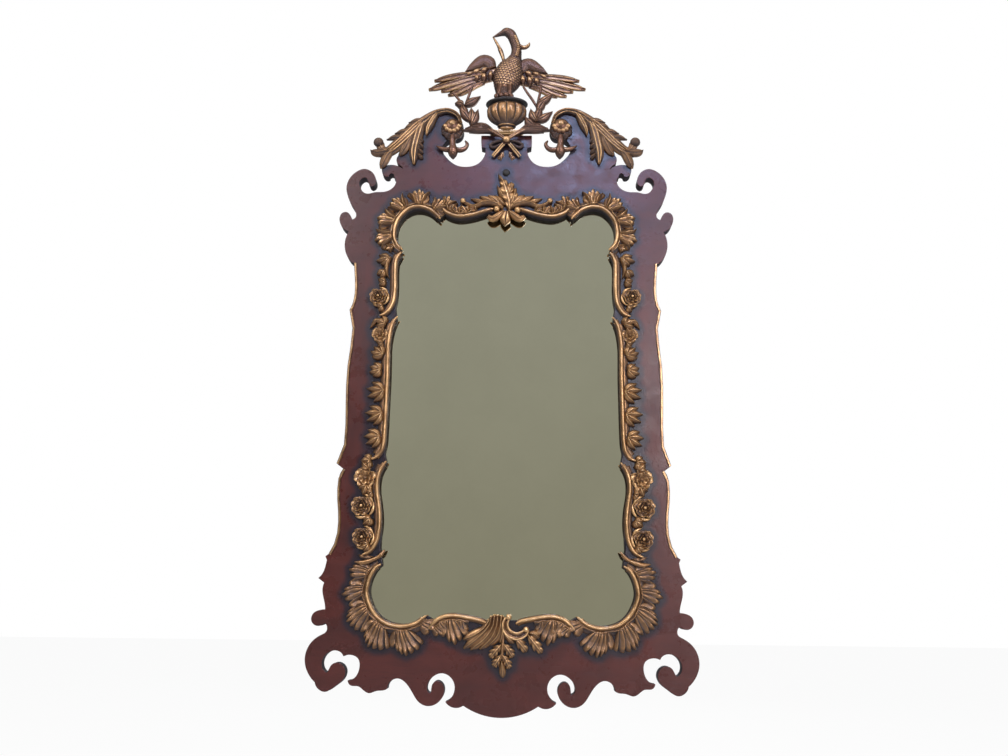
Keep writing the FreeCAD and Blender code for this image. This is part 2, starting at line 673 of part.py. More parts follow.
RAIL_SHARES = {
    "bottom_rail": [(2.7, 14.55), (5.0, 15.05), (8.0, 15.5), (10.0, 15.1), (11.6, 14.1)],
    "bottom_scroll": [(12.5, 15.2), (14.2, 14.15), (16.6, 13.7), (19.2, 14.3), (21.2, 16.0), (22.4, 18.6),
                      (22.3, 20.8), (21.4, 22.8), (20.3, 23.7)],
    "lower_rail": [(22.9, 25.7), (21.8, 26.4), (21.1, 28.2), (20.9, 30.5), (21.1, 33.0), (21.6, 35.8),
                   (21.6, 38.0),
                   (21.1, 39.7), (20.4, 40.8)],
    "middle_rail": [(22.5, 41.7), (21.4, 42.4), (20.9, 44.0), (20.8, 47.0), (20.8, 56.0), (20.9, 60.0),
                    (20.9, 62.5),
                    (20.6, 65.0), (20.1, 66.5), (19.6, 67.2)],
    "upper_rail": [(22.2, 67.9), (21.2, 68.6), (20.4, 70.3), (20.2, 73.0), (20.3, 76.0), (20.3, 78.0),
                   (19.9, 79.2),
                   (19.5, 79.8)],
    "top_scroll": [(19.4, 80.9), (20.2, 81.6), (20.8, 83.3), (20.7, 85.6), (19.8, 87.6), (18.2, 89.1),
                   (16.3, 89.5),
                   (14.5, 89.0), (13.2, 88.0), (12.7, 87.4)],
    "top_rail": [(11.8, 88.9), (11.1, 88.2), (9.8, 87.7), (8.3, 87.5), (6.0, 87.9), (3.6, 88.7),
                 (2.9, 88.9)],
}
RAIL_STATIONS = 17
RAIL_WIDTH_SHARES = (0.55, 0.9, 1.0, 1.0, 1.0, 1.0, 0.9, 0.6)
RAIL_RELIEF_SHARES = (0.75, 1.0, 1.0, 1.0, 1.0, 1.0, 1.0, 0.8)


def rail_line(name):
    """Stations along a rail's middle."""
    return smooth_line([spot(place) for place in RAIL_SHARES[name]], RAIL_STATIONS)


def make_rails():
    """Gilt rails and corner scrolls round the sight."""
    half = size("rail_width") / 2
    halves = [half * share for share in blend_shares(RAIL_WIDTH_SHARES, RAIL_STATIONS)]
    reliefs = [size("rail_relief") * share for share in blend_shares(RAIL_RELIEF_SHARES, RAIL_STATIONS)]
    for name in RAIL_SHARES:
        rail = strip_solid(rail_line(name), halves, halves, reliefs, BOARD_FRONT)
        keep_pair(shape_feature("right_" + name, rail), name)


# Each ruffle: its rail, the stretch of the rail that it follows, its lobes, and its reach in columns
RUFFLE_SHARES = {
    "bottom_ruffle": ("bottom_rail", 0.40, 0.95, 4, (1.2, 2.6, 3.4, 2.0)),
    "bottom_corner_ruffle": ("bottom_scroll", 0.14, 0.90, 13, (2.6, 3.2, 3.0, 2.6, 2.4, 2.2)),
    "top_corner_ruffle": ("top_scroll", 0.10, 0.90, 13, (2.6, 2.8, 2.9, 2.8, 2.4, 2.0)),
    "top_ruffle": ("top_rail", 0.06, 0.62, 6, (1.0, 2.0, 2.2, 2.0)),
}
RUFFLE_VALLEY_SHARE = 0.72
RUFFLE_INNER_RELIEF_SHARE = 0.8
RUFFLE_OUTER_RELIEF_SHARE = 0.35
RUFFLE_OUTWARD_SHARES = {"bottom_ruffle": -1, "bottom_corner_ruffle": -1, "top_corner_ruffle": -1,
                         "top_ruffle": -1}


def ruffle_solid(name):
    """Scalloped band outside a rail, ribbed from lobe to lobe."""
    rail, start, end, lobes, reach_shares = RUFFLE_SHARES[name]
    curve = run_curve([spot(place) for place in RAIL_SHARES[rail]]).toShape()
    count = 2 * lobes + 1
    reaches = [across(share) for share in blend_shares(reach_shares, count)]
    inner = size("rail_width") / 2 + GAP
    wires = []
    for index in range(count):
        share = start + (end - start) * index / (count - 1)
        parameter = curve.getParameterByLength(curve.Length * share)
        along = curve.tangentAt(parameter)
        out = Vector(-along.z, 0, along.x) * RUFFLE_OUTWARD_SHARES[name]
        lobe = 1 if index % 2 else RUFFLE_VALLEY_SHARE
        proud = size("ruffle_relief") * lobe
        corners = (
            (inner, 0), (inner, proud * RUFFLE_INNER_RELIEF_SHARE),
            ((inner + reaches[index] * lobe) / 2, proud),
            (reaches[index] * lobe, proud * RUFFLE_OUTER_RELIEF_SHARE), (reaches[index] * lobe, 0),
        )
        foot = curve.valueAt(parameter)
        ring = [foot + out * sideways + Vector(0, BOARD_FRONT - front, 0) for sideways, front in corners]
        wires.append(Part.makePolygon(ring + ring[:1]))
    return Part.makeLoft(wires, True, True)


def make_ruffles():
    """Ruffles outside the corner scrolls and the top and bottom rails."""
    for name in RUFFLE_SHARES:
        keep_pair(shape_feature("right_" + name, ruffle_solid(name)), name)


# Flowers and leaves down the stiles: places, sizes in columns, and lobes
TRAIL_FLOWER_SHARES = (
    ((23.1, 71.2), 1.6, 5), ((22.9, 61.0), 1.1, 5), ((22.7, 58.2), 1.1, 5),
    ((23.6, 38.3), 1.5, 6), ((23.9, 33.4), 1.6, 5), ((23.5, 28.8), 1.4, 5),
)
TRAIL_LEAF_SHARES = (
    (((21.9, 74.4), (22.4, 76.0), (23.0, 77.5), (24.0, 78.6)), 1.7),
    (((22.9, 65.4), (23.3, 66.5), (23.6, 67.6), (23.6, 68.9)), 1.5),
    (((22.2, 62.8), (22.4, 63.6), (22.8, 64.3), (23.4, 64.9)), 1.2),
    (((21.9, 56.6), (22.5, 56.0), (23.2, 55.4), (24.0, 54.6)), 1.6),
    (((21.9, 53.8), (22.6, 53.2), (23.3, 52.8), (24.2, 52.4)), 1.6),
    (((21.9, 51.2), (22.5, 50.6), (23.1, 50.1), (23.7, 49.6)), 1.3),
    (((21.9, 49.6), (22.6, 49.1), (23.3, 48.7), (24.1, 48.3)), 1.3),
    (((21.9, 46.6), (22.4, 46.2), (22.9, 45.9), (23.3, 45.6)), 1.0),
    (((21.9, 45.2), (22.5, 44.6), (23.2, 44.0), (23.9, 43.4)), 1.4),
    (((23.4, 41.2), (23.6, 40.9), (23.9, 40.6), (24.4, 40.4)), 0.9),
)


def make_trails():
    """Flowers and leaves applied to the stiles."""
    relief = size("trail_relief")
    solids = []
    for place, radius, lobes in TRAIL_FLOWER_SHARES:
        solids.append(flower_solid(place, radius, lobes, relief, BOARD_FRONT))
    solids += [leaf_solid(places, wide, relief, BOARD_FRONT) for places, wide in TRAIL_LEAF_SHARES]
    keep_pair(shape_feature("right_flower_trail", Part.makeCompound(solids)), "flower_trail")


TOP_ACANTHUS_SHARES = [
    [(-0.3, 85.7), (0.2, 86.2), (0.7, 86.8), (1.7, 86.5), (2.9, 86.9), (3.1, 87.6), (2.4, 88.2),
     (2.3, 89.3), (3.6, 89.9), (5.0, 90.1), (5.2, 91.0), (4.0, 91.8), (2.6, 91.4), (1.8, 91.0)],
    [(1.8, 91.0), (2.0, 92.2), (2.0, 93.6), (1.5, 93.6)],
    [(1.5, 93.6), (1.7, 94.9), (1.0, 95.0), (0.5, 94.7)],
    [(0.5, 94.7), (0.2, 95.4), (-0.6, 96.2), (-1.8, 96.2)],
    [(-1.8, 96.2), (-1.9, 95.2), (-2.0, 94.0), (-1.8, 92.5), (-1.7, 91.4)],
    [(-1.7, 91.4), (-2.6, 91.4), (-4.0, 91.8), (-5.4, 91.4), (-5.7, 90.6), (-5.0, 90.1), (-3.6, 89.9),
     (-2.3, 89.3), (-2.4, 88.2), (-3.1, 87.6), (-2.9, 86.9), (-1.9, 86.4), (-1.0, 86.8), (-0.3, 85.7)],
]
BOTTOM_ACANTHUS_SHARES = [
    [(0.3, 6.4), (0.9, 7.4), (1.3, 8.9), (1.0, 10.9), (2.0, 11.3), (3.0, 10.7), (4.3, 10.1)],
    [(4.3, 10.1), (5.0, 10.9), (6.4, 10.0)],
    [(6.4, 10.0), (6.0, 11.4), (5.6, 12.6), (4.3, 13.4), (3.0, 13.3), (2.0, 13.6), (1.7, 14.6),
     (1.3, 15.4), (-0.2, 15.7), (-1.5, 15.5), (-1.9, 14.6), (-2.4, 13.6), (-3.6, 13.2),
     (-5.2, 13.0), (-5.8, 12.2)],
    [(-5.8, 12.2), (-5.5, 11.5), (-6.4, 10.2)],
    [(-6.4, 10.2), (-4.6, 10.5), (-3.2, 10.6), (-2.0, 11.3), (-1.4, 10.6), (-2.0, 9.4), (-1.6, 8.2),
     (-0.8, 7.1), (0.3, 6.4)],
]


def make_acanthus():
    """Acanthus leaves over the middle of the top and bottom rails."""
    top = front_body("top_acanthus", TOP_ACANTHUS_SHARES, BOARD_FRONT_DEPTH, "sizes.acanthus_relief")
    keep(top, "top_acanthus")
    bottom = front_body("bottom_acanthus", BOTTOM_ACANTHUS_SHARES, BOARD_FRONT_DEPTH,
                        "sizes.acanthus_relief")
    keep(bottom, "bottom_acanthus")


# Crest

SWAN_LEAF_SHARES = [
    [(8.6, 107.6), (9.6, 109.2), (11.2, 110.3), (13.0, 110.3), (14.6, 109.4), (16.0, 108.2),
     (17.3, 107.4), (19.0, 107.4)],
    [(19.0, 107.4), (18.6, 106.6), (19.7, 106.2)],
    [(19.7, 106.2), (19.4, 105.4), (21.3, 105.0)],
    [(21.3, 105.0), (20.8, 104.3), (22.6, 103.6)],
    [(22.6, 103.6), (21.4, 103.0), (22.2, 102.0), (23.3, 101.7), (23.8, 102.2), (24.1, 103.4),
     (24.9, 103.9), (25.6, 103.2), (25.6, 101.9), (26.1, 101.1)],
    [(26.1, 101.1), (25.3, 100.3), (24.0, 99.8), (23.6, 98.9), (24.0, 97.7)],
    [(24.0, 97.7), (22.5, 98.4), (21.2, 99.8), (20.4, 100.7), (19.4, 100.2), (18.4, 98.8), (17.7, 98.5)],
    [(17.7, 98.5), (16.9, 99.6), (16.7, 101.2), (16.9, 103.0), (16.9, 104.8), (16.4, 106.0)],
    [(16.4, 106.0), (16.1, 105.2), (15.5, 104.5)],
    [(15.5, 104.5), (14.9, 105.5), (14.7, 106.9), (13.9, 108.3), (12.8, 109.0), (11.4, 109.1),
     (10.2, 108.6), (9.4, 107.6)],
    [(9.4, 107.6), (8.6, 107.6)],
]
ROSETTE_PLACE_SHARES = (10.5, 105.9)
ROSETTE_RADIUS_SHARE = 2.0
ROSETTE_LOBES = 8
PENDANT_STEM_SHARES = ((10.4, 103.9), (10.35, 102.9), (10.3, 101.9), (10.25, 101.2), (10.2, 100.2),
                       (10.2, 99.2))
PENDANT_STEM_WIDTH_SHARES = (0.7, 0.6, 0.75, 1.0, 0.95, 0.4)
PENDANT_WIDTH_SHARE = 1.9
PENDANT_LEFT_HOOK_SHARES = ((9.9, 101.6), (8.9, 101.2), (7.9, 101.6), (7.5, 102.5), (7.9, 103.2))
PENDANT_RIGHT_HOOK_SHARES = ((10.7, 101.7), (11.6, 101.4), (12.5, 101.6), (13.4, 102.2))
PENDANT_HOOK_WIDTH_SHARE = 0.75


def make_swan_necks():
    """Leaves over the swan necks, and the rosettes with their husk pendants."""
    leaf = front_body("right_swan_leaf", SWAN_LEAF_SHARES, BOARD_FRONT_DEPTH, "sizes.swan_leaf_relief")
    keep_pair(leaf, "swan_leaf")
    relief = size("pendant_relief")
    rosette = flower_solid(
        ROSETTE_PLACE_SHARES, ROSETTE_RADIUS_SHARE, ROSETTE_LOBES, size("rosette_relief"), BOARD_FRONT,
    )
    stem = leaf_solid(PENDANT_STEM_SHARES, PENDANT_WIDTH_SHARE, relief, BOARD_FRONT,
                      PENDANT_STEM_WIDTH_SHARES)
    left = leaf_solid(PENDANT_LEFT_HOOK_SHARES, PENDANT_HOOK_WIDTH_SHARE, relief, BOARD_FRONT,
                      STEM_WIDTH_SHARES)
    right = leaf_solid(PENDANT_RIGHT_HOOK_SHARES, PENDANT_HOOK_WIDTH_SHARE, relief, BOARD_FRONT,
                       STEM_WIDTH_SHARES)
    keep_pair(shape_feature("right_rosette", rosette), "rosette")
    keep_pair(shape_feature("right_husk_pendant", fused([stem, left, right])), "husk_pendant")


CAP_HALF_SHARE = 3.2
CAP_FOOT_ROW_SHARE = 104.8
CAP_HEAD_ROW_SHARE = 105.6
CAP_BEVEL_SHARE = 0.35


def make_plinth_cap():
    """Moulded cap on the crest's plinth, under the urn."""
    half = across(CAP_HALF_SHARE)
    foot = rise(CAP_FOOT_ROW_SHARE)
    head = rise(CAP_HEAD_ROW_SHARE)
    front = BOARD_FRONT - size("cap_relief")
    bevel = (head - foot) * CAP_BEVEL_SHARE
    corners = [
        Vector(-half, BOARD_BACK, foot), Vector(-half, front + bevel, foot),
        Vector(-half, front, head - bevel), Vector(-half, front, head), Vector(-half, BOARD_BACK, head),
    ]
    profile = Part.Face(Part.makePolygon(corners + corners[:1]))
    keep(shape_feature("plinth_cap", profile.extrude(Vector(2 * half, 0, 0))), "plinth_cap")


# Urn profile: row, radius in columns, and whether gadroons cross it
URN_SHARES = (
    (105.65, 1.6, False), (106.0, 1.55, False), (106.2, 1.3, False), (106.35, 1.75, False),
    (106.6, 1.8, False), (106.9, 2.0, True), (107.8, 3.1, True), (108.9, 3.8, True), (109.8, 3.9, True),
    (110.6, 3.6, True), (111.0, 3.2, False), (111.15, 4.05, False), (111.5, 4.05, False),
    (112.2, 2.6, False),
)
URN_GADROONS = 14
GADROON_VALLEY_SHARE = 0.9
URN_DEPTH_SHARE = 0.6


def make_urn():
    """Oval gadrooned urn with a spreading foot and a dished lid."""
    deep = Vector(0, URN_DEPTH_SHARE, 0)
    wires = []
    for row, radius, fluted in URN_SHARES:
        centre = Vector(0, FINIAL_AXIS, rise(row))
        valley = GADROON_VALLEY_SHARE if fluted else 1
        wires.append(lobed_ring(centre, across(radius), URN_GADROONS, valley, Vector(1, 0, 0), deep))
    keep(shape_feature("urn", Part.makeLoft(wires, True, True)), "urn")


# Bird's line from the feet to the bill: place, half width and half depth in columns
BIRD_SHARES = (
    ((-0.7, 112.25), 1.8, 1.1), ((-0.75, 113.4), 1.6, 1.1), ((-0.6, 114.6), 2.0, 1.4),
    ((-0.2, 116.2), 2.6, 1.8), ((0.25, 117.9), 2.9, 2.0), ((0.8, 119.6), 2.5, 1.8),
    ((1.35, 121.1), 1.55, 1.3), ((1.7, 122.4), 1.1, 1.0), ((1.8, 123.8), 0.98, 0.9),
    ((1.55, 125.2), 0.95, 0.9), ((1.1, 126.5), 0.95, 0.9), ((0.6, 127.5), 1.0, 0.95),
    ((-0.3, 128.0), 0.9, 0.85), ((-1.2, 127.7), 0.5, 0.55), ((-2.2, 127.2), 0.28, 0.3),
    ((-3.0, 126.8), 0.1, 0.12),
)
BIRD_CORNERS = 10
PLUME_SHARES = ((2.0, 124.4), (3.0, 124.3), (3.8, 124.5), (4.4, 125.3))
TENDRIL_SHARES = ((-0.9, 120.6), (-1.1, 121.9), (-1.2, 123.2), (-1.9, 124.8), (-2.7, 126.4))
PLUME_WIDTH_SHARE = 0.7


def ring_across(place, heading, wide, deep):
    """Oval polygon square to a heading in the front plane."""
    centre = spot(place, FINIAL_AXIS)
    side = Vector(-heading.z, 0, heading.x)
    corners = []
    for index in range(BIRD_CORNERS):
        angle = 2 * math.pi * index / BIRD_CORNERS
        sideways = side * (across(wide) * math.cos(angle))
        corners.append(centre + sideways + Vector(0, across(deep) * math.sin(angle), 0))
    return Part.makePolygon(corners + corners[:1])


def make_bird():
    """Bird that stands on the urn: body, neck, head and bill in one, with a plume and a tendril."""
    line = [spot(place) for place, wide, deep in BIRD_SHARES]
    wires = []
    for index, (place, wide, deep) in enumerate(BIRD_SHARES):
        heading = (line[min(index + 1, len(line) - 1)] - line[max(index - 1, 0)]).normalize()
        if index == 0:
            heading = Vector(0, 0, 1)
        wires.append(ring_across(place, heading, wide, deep))
    body = Part.makeLoft(wires, True, True)
    relief = size("branch_relief")
    back = FINIAL_AXIS + relief / 2
    plume = leaf_solid(PLUME_SHARES, PLUME_WIDTH_SHARE, relief, back, STEM_WIDTH_SHARES)
    tendril = leaf_solid(TENDRIL_SHARES, PLUME_WIDTH_SHARE, relief, back, STEM_WIDTH_SHARES)
    keep(shape_feature("bird", fused([body, plume, tendril])), "bird")


# Right wing: quill lines from shoulder to tip and their widths, upper quill first
WING_QUILL_SHARES = (
    (((4.4, 118.5), (7.6, 118.4), (11.0, 117.4), (14.1, 116.5)), 1.7),
    (((4.3, 117.6), (7.8, 117.1), (11.6, 115.9), (15.4, 114.8)), 1.9),
    (((4.1, 116.9), (7.2, 116.2), (10.4, 114.9), (13.4, 113.9)), 1.8),
    (((4.0, 116.3), (6.8, 115.4), (9.4, 114.1), (12.1, 113.0)), 1.7),
    (((3.8, 115.8), (6.0, 115.0), (8.2, 113.9), (10.1, 113.1)), 1.5),
)
WING_TIP_SHARES = WING_QUILL_SHARES[1][0][-1]
WING_SHOULDER_SHARES = ((3.0, 118.9), (3.6, 120.2), (4.7, 120.7), (6.4, 119.7), (8.6, 118.4))
WING_SHOULDER_WIDTH_SHARE = 2.6
WING_ROOT_SHARES = ((1.0, 118.0), (2.4, 118.0), (4.0, 117.6), (6.2, 116.8))
WING_ROOT_SHAPE_SHARES = (0.9, 1.0, 1.0, 0.7, 0.3)
WING_ROOT_WIDTH_SHARE = 3.6
WING_SEAT_STATIONS = 7
WING_STEP_SHARE = 0.12


def wing_shape():
    """Right wing with quills, shoulder and coverts, drawn on into the bird's axis."""
    relief = size("wing_relief")
    back = FINIAL_AXIS + relief / 2
    solids = []
    for index, (places, wide) in enumerate(WING_QUILL_SHARES):
        proud = relief * (1 - WING_STEP_SHARE * (index % 2))
        solids.append(leaf_solid(places, wide, proud, back, FEATHER_WIDTH_SHARES))
    solids.append(leaf_solid(WING_SHOULDER_SHARES, WING_SHOULDER_WIDTH_SHARE, relief, back))
    solids.append(leaf_solid(WING_ROOT_SHARES, WING_ROOT_WIDTH_SHARE, relief, back,
                             WING_ROOT_SHAPE_SHARES))
    return fused(solids)


def bird_clearance():
    """Prism round the bird's outline that the wings are cut back to."""
    line = [spot(place) for place, wide, deep in BIRD_SHARES]
    rights = []
    lefts = []
    for index, (place, wide, deep) in enumerate(BIRD_SHARES[:WING_SEAT_STATIONS]):
        side = across_line(line, index)
        reach = across(wide) + GAP
        rights.append(line[index] - side * reach)
        lefts.append(line[index] + side * reach)
    corners = rights + lefts[::-1]
    outline = Part.Face(Part.makePolygon(corners + corners[:1]))
    outline.translate(Vector(0, FINIAL_AXIS - size("wing_relief") - size("overrun"), 0))
    return outline.extrude(Vector(0, 2 * (size("wing_relief") + size("overrun")), 0))


def make_wings():
    """Spread wings that stand against the bird's sides, the left one turned up about its tip."""
    clearance = shape_feature("bird_clearance", bird_clearance())
    right = wing_shape()
    left = right.mirror(Vector(0, 0, 0), Vector(1, 0, 0))
    column, row = WING_TIP_SHARES
    turn = math.degrees(math.atan2(size("left_wing_lift"), across(column)))
    left.rotate(spot((-column, row)), Vector(0, 1, 0), -turn)
    for name, shape in (("right_wing", right), ("left_wing", left)):
        wing = doc.addObject("Part::Cut", name)
        wing.Base = shape_feature(name + "_blank", shape)
        wing.Tool = clearance
        keep(wing, name)


# Branches: the stem and the palm on both sides, then each side's own laurel, drawn as if on the right
BRANCH_STEM_SHARES = ((0.75, 103.9), (2.1, 104.7), (3.6, 105.4), (5.2, 105.8))
BRANCH_TAIL_SHARES = ((0.6, 102.4), (1.2, 101.6), (1.9, 100.8), (2.6, 99.9))
PALM_SHARES = ((2.2, 104.7), (4.3, 105.7), (6.3, 105.75), (8.4, 105.3))
LAUREL_STEM_SHARES = {
    "right": (
        ((5.5, 105.8), (5.8, 107.6), (5.9, 109.2), (5.9, 110.6)),
        ((5.9, 110.4), (5.0, 112.0), (4.0, 113.6), (3.2, 115.0)),
        ((5.9, 110.4), (6.2, 112.2), (6.5, 113.8), (6.7, 115.4)),
    ),
    "left": (
        ((6.6, 105.8), (7.3, 107.6), (7.9, 109.2), (8.2, 110.6)),
        ((8.2, 110.4), (9.0, 111.6), (9.8, 112.7), (10.6, 113.7)),
        ((8.2, 110.4), (7.7, 112.1), (7.2, 113.8), (6.7, 115.4)),
    ),
}
LAUREL_LEAF_SHARES = {
    "right": (
        ((5.8, 107.2), (6.8, 107.7), (7.8, 108.4), (8.8, 109.2)),
        ((5.7, 107.0), (5.2, 108.0), (4.9, 108.9), (4.6, 109.7)),
        ((5.9, 109.2), (6.5, 110.2), (7.0, 111.0), (7.6, 111.9)),
        ((5.3, 106.0), (4.6, 106.6), (4.0, 107.3), (3.6, 108.0)),
        ((6.0, 110.9), (6.9, 111.5), (7.9, 112.2), (8.9, 112.9)),
    ),
    "left": (
        ((7.2, 107.2), (7.9, 108.2), (8.5, 109.2), (9.2, 110.2)),
        ((7.1, 107.0), (6.8, 108.0), (6.8, 109.0), (6.9, 110.0)),
        ((6.7, 106.2), (6.3, 107.4), (5.9, 108.5), (5.6, 109.6)),
        ((8.1, 110.6), (7.2, 111.2), (6.2, 111.9), (5.2, 112.5)),
        ((8.4, 110.6), (8.9, 110.9), (9.4, 111.0), (10.0, 111.0)),
    ),
}
BRANCH_STEM_WIDTH_SHARE = 0.7
LAUREL_LEAF_WIDTH_SHARE = 1.3
PALM_WIDTH_SHARE = 2.2
KNOT_RADIUS_SHARE = 0.62
KNOT_PLACE_SHARES = (0, 103.2)
KNOT_LOBES = 6
BOW_LOOP_SHARES = ((0.75, 103.1), (1.6, 103.0), (2.6, 102.7), (3.3, 102.4))
BOW_LOOP_WIDTH_SHARE = 1.1


def branch_solid(side):
    """Stem, palm and laurel of one side, drawn as if on the right."""
    relief = size("branch_relief")
    back = BOARD_FRONT - size("cap_relief") - GAP
    stems = (BRANCH_STEM_SHARES,) + LAUREL_STEM_SHARES[side]
    solids = [leaf_solid(line, BRANCH_STEM_WIDTH_SHARE, relief, back, STEM_WIDTH_SHARES) for line in stems]
    solids.append(leaf_solid(PALM_SHARES, PALM_WIDTH_SHARE, relief, back))
    for line in LAUREL_LEAF_SHARES[side]:
        solids.append(leaf_solid(line, LAUREL_LEAF_WIDTH_SHARE, relief, back))
    return fused(solids)


def make_branches():
    """Crossed branches before the plinth, and the ribbon bow that ties them."""
    keep(shape_feature("right_branch", branch_solid("right")), "right_branch")
    left = branch_solid("left").mirror(Vector(0, 0, 0), Vector(1, 0, 0))
    keep(shape_feature("left_branch", left), "left_branch")
    relief = size("branch_relief")
    knot_relief = size("cap_relief") + GAP + relief
    knot = flower_solid(KNOT_PLACE_SHARES, KNOT_RADIUS_SHARE, KNOT_LOBES, knot_relief, BOARD_FRONT)
    ribbons = []
    for line, wide in ((BOW_LOOP_SHARES, BOW_LOOP_WIDTH_SHARE),
                       (BRANCH_TAIL_SHARES, BRANCH_STEM_WIDTH_SHARE)):
        for side in (1, -1):
            places = [(side * column, row) for column, row in line]
            ribbons.append(leaf_solid(places, wide, relief, BOARD_FRONT))
    keep(shape_feature("ribbon_bow", Part.makeCompound([knot] + ribbons)), "ribbon_bow")


def check_document():
    """Stops if any object failed or any sub-part lacks a sound solid."""
    for item in doc.Objects:
        if "Invalid" in item.State or "Error" in item.State:
            raise RuntimeError(f"{item.Label} failed: {item.State}")
    for feature in sub_parts:
        if feature.Shape.isNull() or not feature.Shape.isValid() or not feature.Shape.Solids:
            raise RuntimeError(f"{feature.Label} has no sound solid")


def write_parts():
    """Writes each sub-part to its own file."""
    os.makedirs("parts", exist_ok=True)
    for feature in sub_parts:
        feature.Shape.exportStep(f"parts/{feature.Label}.step")


make_boards()
make_subframe()
make_glazing()
make_bumpers()
make_hangers()
make_edge_beads()
make_rails()
make_ruffles()
make_trails()
make_acanthus()
make_swan_necks()
make_plinth_cap()
make_urn()
make_bird()
make_wings()
make_branches()
doc.recompute()
check_document()
write_parts()
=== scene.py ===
"""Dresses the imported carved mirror: mahogany boards, gilt carving, glass, pine back and hangers."""

import json
import math

import bmesh
import bpy
import numpy as np
from mathutils import Matrix, Vector, kdtree

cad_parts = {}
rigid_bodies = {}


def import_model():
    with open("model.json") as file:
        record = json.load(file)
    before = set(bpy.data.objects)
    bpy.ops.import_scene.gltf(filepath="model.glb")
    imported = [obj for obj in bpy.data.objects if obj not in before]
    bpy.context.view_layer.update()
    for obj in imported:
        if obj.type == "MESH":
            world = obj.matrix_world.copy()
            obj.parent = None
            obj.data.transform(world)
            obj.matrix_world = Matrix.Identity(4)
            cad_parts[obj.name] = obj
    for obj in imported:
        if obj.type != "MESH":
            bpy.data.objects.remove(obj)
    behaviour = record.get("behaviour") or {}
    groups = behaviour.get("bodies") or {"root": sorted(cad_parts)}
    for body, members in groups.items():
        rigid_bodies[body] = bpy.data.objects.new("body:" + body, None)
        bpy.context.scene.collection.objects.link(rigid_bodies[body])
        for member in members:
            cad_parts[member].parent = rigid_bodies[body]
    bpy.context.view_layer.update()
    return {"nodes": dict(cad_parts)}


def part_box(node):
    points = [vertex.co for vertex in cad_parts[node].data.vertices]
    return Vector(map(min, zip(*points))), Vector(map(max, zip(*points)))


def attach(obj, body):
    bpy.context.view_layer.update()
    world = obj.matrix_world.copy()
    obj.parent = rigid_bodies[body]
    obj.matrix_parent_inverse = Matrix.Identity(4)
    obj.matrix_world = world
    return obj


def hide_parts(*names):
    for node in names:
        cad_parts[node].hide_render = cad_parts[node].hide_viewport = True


bl_info = {
    "name": "Carved Mirror",
    "version": (1, 0, 0),
    "blender": (4, 5, 0),
    "location": "View3D > Sidebar > Mirror",
    "description": "Builds the carved and gilded dressing of a hanging mirror on its packed frame",
    "category": "Add Mesh",
}

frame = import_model()
NODES = frame["nodes"]

# Carvings are drawn on the pattern's squares: columns from the axis, rows from the apron's foot,
# and a third number, in squares too, for the height above the boards' face.
PATTERN_COLUMNS = 64
APRON_LOW, APRON_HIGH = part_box("apron_board")
SQUARE = (APRON_HIGH.x - APRON_LOW.x) / PATTERN_COLUMNS
BOARD_FRONT = APRON_LOW.y
APRON_FOOT = APRON_LOW.z

SIDES = ("right", "left")


class MirrorSettings(bpy.types.PropertyGroup):
    """Sizes and finishes that a user would change."""

    board_round: bpy.props.FloatProperty(
        name="Board edge rounding", description="Rounding on the fret boards' edges",
        default=0.0012, min=0.0002, max=0.004, unit="LENGTH",
    )
    rail_radius: bpy.props.FloatProperty(
        name="Rail radius", description="Radius of the gilt rails round the glass",
        default=0.0034, min=0.002, max=0.008, unit="LENGTH",
    )
    lip_radius: bpy.props.FloatProperty(
        name="Ruffle lip radius", description="Radius of the wavy lip between rail and ruffle",
        default=0.0008, min=0.0004, max=0.003, unit="LENGTH",
    )
    # The dark halo is painted shadow on the boards beside the gilding
    halo_reach: bpy.props.FloatProperty(
        name="Dark halo", description="How far the painted dark shadow spreads from the gilding over the boards",
        default=0.016, min=0.0, max=0.05, unit="LENGTH",
    )
    mahogany: bpy.props.FloatVectorProperty(
        name="Mahogany", description="Main colour of the boards", subtype="COLOR", size=4,
        default=(0.092, 0.020, 0.017, 1.0), min=0.0, max=1.0,
    )
    mahogany_dark: bpy.props.FloatVectorProperty(
        name="Mahogany figure", description="Dark streaks in the boards", subtype="COLOR", size=4,
        default=(0.040, 0.010, 0.010, 1.0), min=0.0, max=1.0,
    )
    # Colour of the painted shadow beside the gilding and on the boards' sideways faces
    painted_shadow: bpy.props.FloatVectorProperty(
        name="Painted shadow", description="Blue-black painted shadow beside the gilding and on the boards' edges", subtype="COLOR", size=4,
        default=(0.012, 0.010, 0.019, 1.0), min=0.0, max=1.0,
    )
    gold: bpy.props.FloatVectorProperty(
        name="Gold", description="Gilding on the raised parts", subtype="COLOR", size=4,
        default=(0.275, 0.147, 0.069, 1.0), min=0.0, max=1.0,
    )
    # Rubbed gold is also painted light on upper faces
    gold_bright: bpy.props.FloatVectorProperty(
        name="Rubbed gold", description="Gilding rubbed bright on the crests and painted lighter on upper faces", subtype="COLOR", size=4,
        default=(0.68, 0.432, 0.212, 1.0), min=0.0, max=1.0,
    )
    # The recess colour is also painted shade on under faces
    gold_recess: bpy.props.FloatVectorProperty(
        name="Recess", description="Dark wax in the carving's recesses and painted shade on under faces", subtype="COLOR", size=4,
        default=(0.036, 0.020, 0.021, 1.0), min=0.0, max=1.0,
    )
    bronze: bpy.props.FloatVectorProperty(
        name="Bronze gilding", description="Browner gilding on bird and branches", subtype="COLOR", size=4,
        default=(0.150, 0.075, 0.050, 1.0), min=0.0, max=1.0,
    )
    glass: bpy.props.FloatVectorProperty(
        name="Glass", description="Tint of the mirror glass", subtype="COLOR", size=4,
        default=(0.56, 0.545, 0.41, 1.0), min=0.0, max=1.0,
    )


# Paths and grids

SPAN_STEPS = 14
STRAIGHT_STEPS = 16
TINY = 1e-9


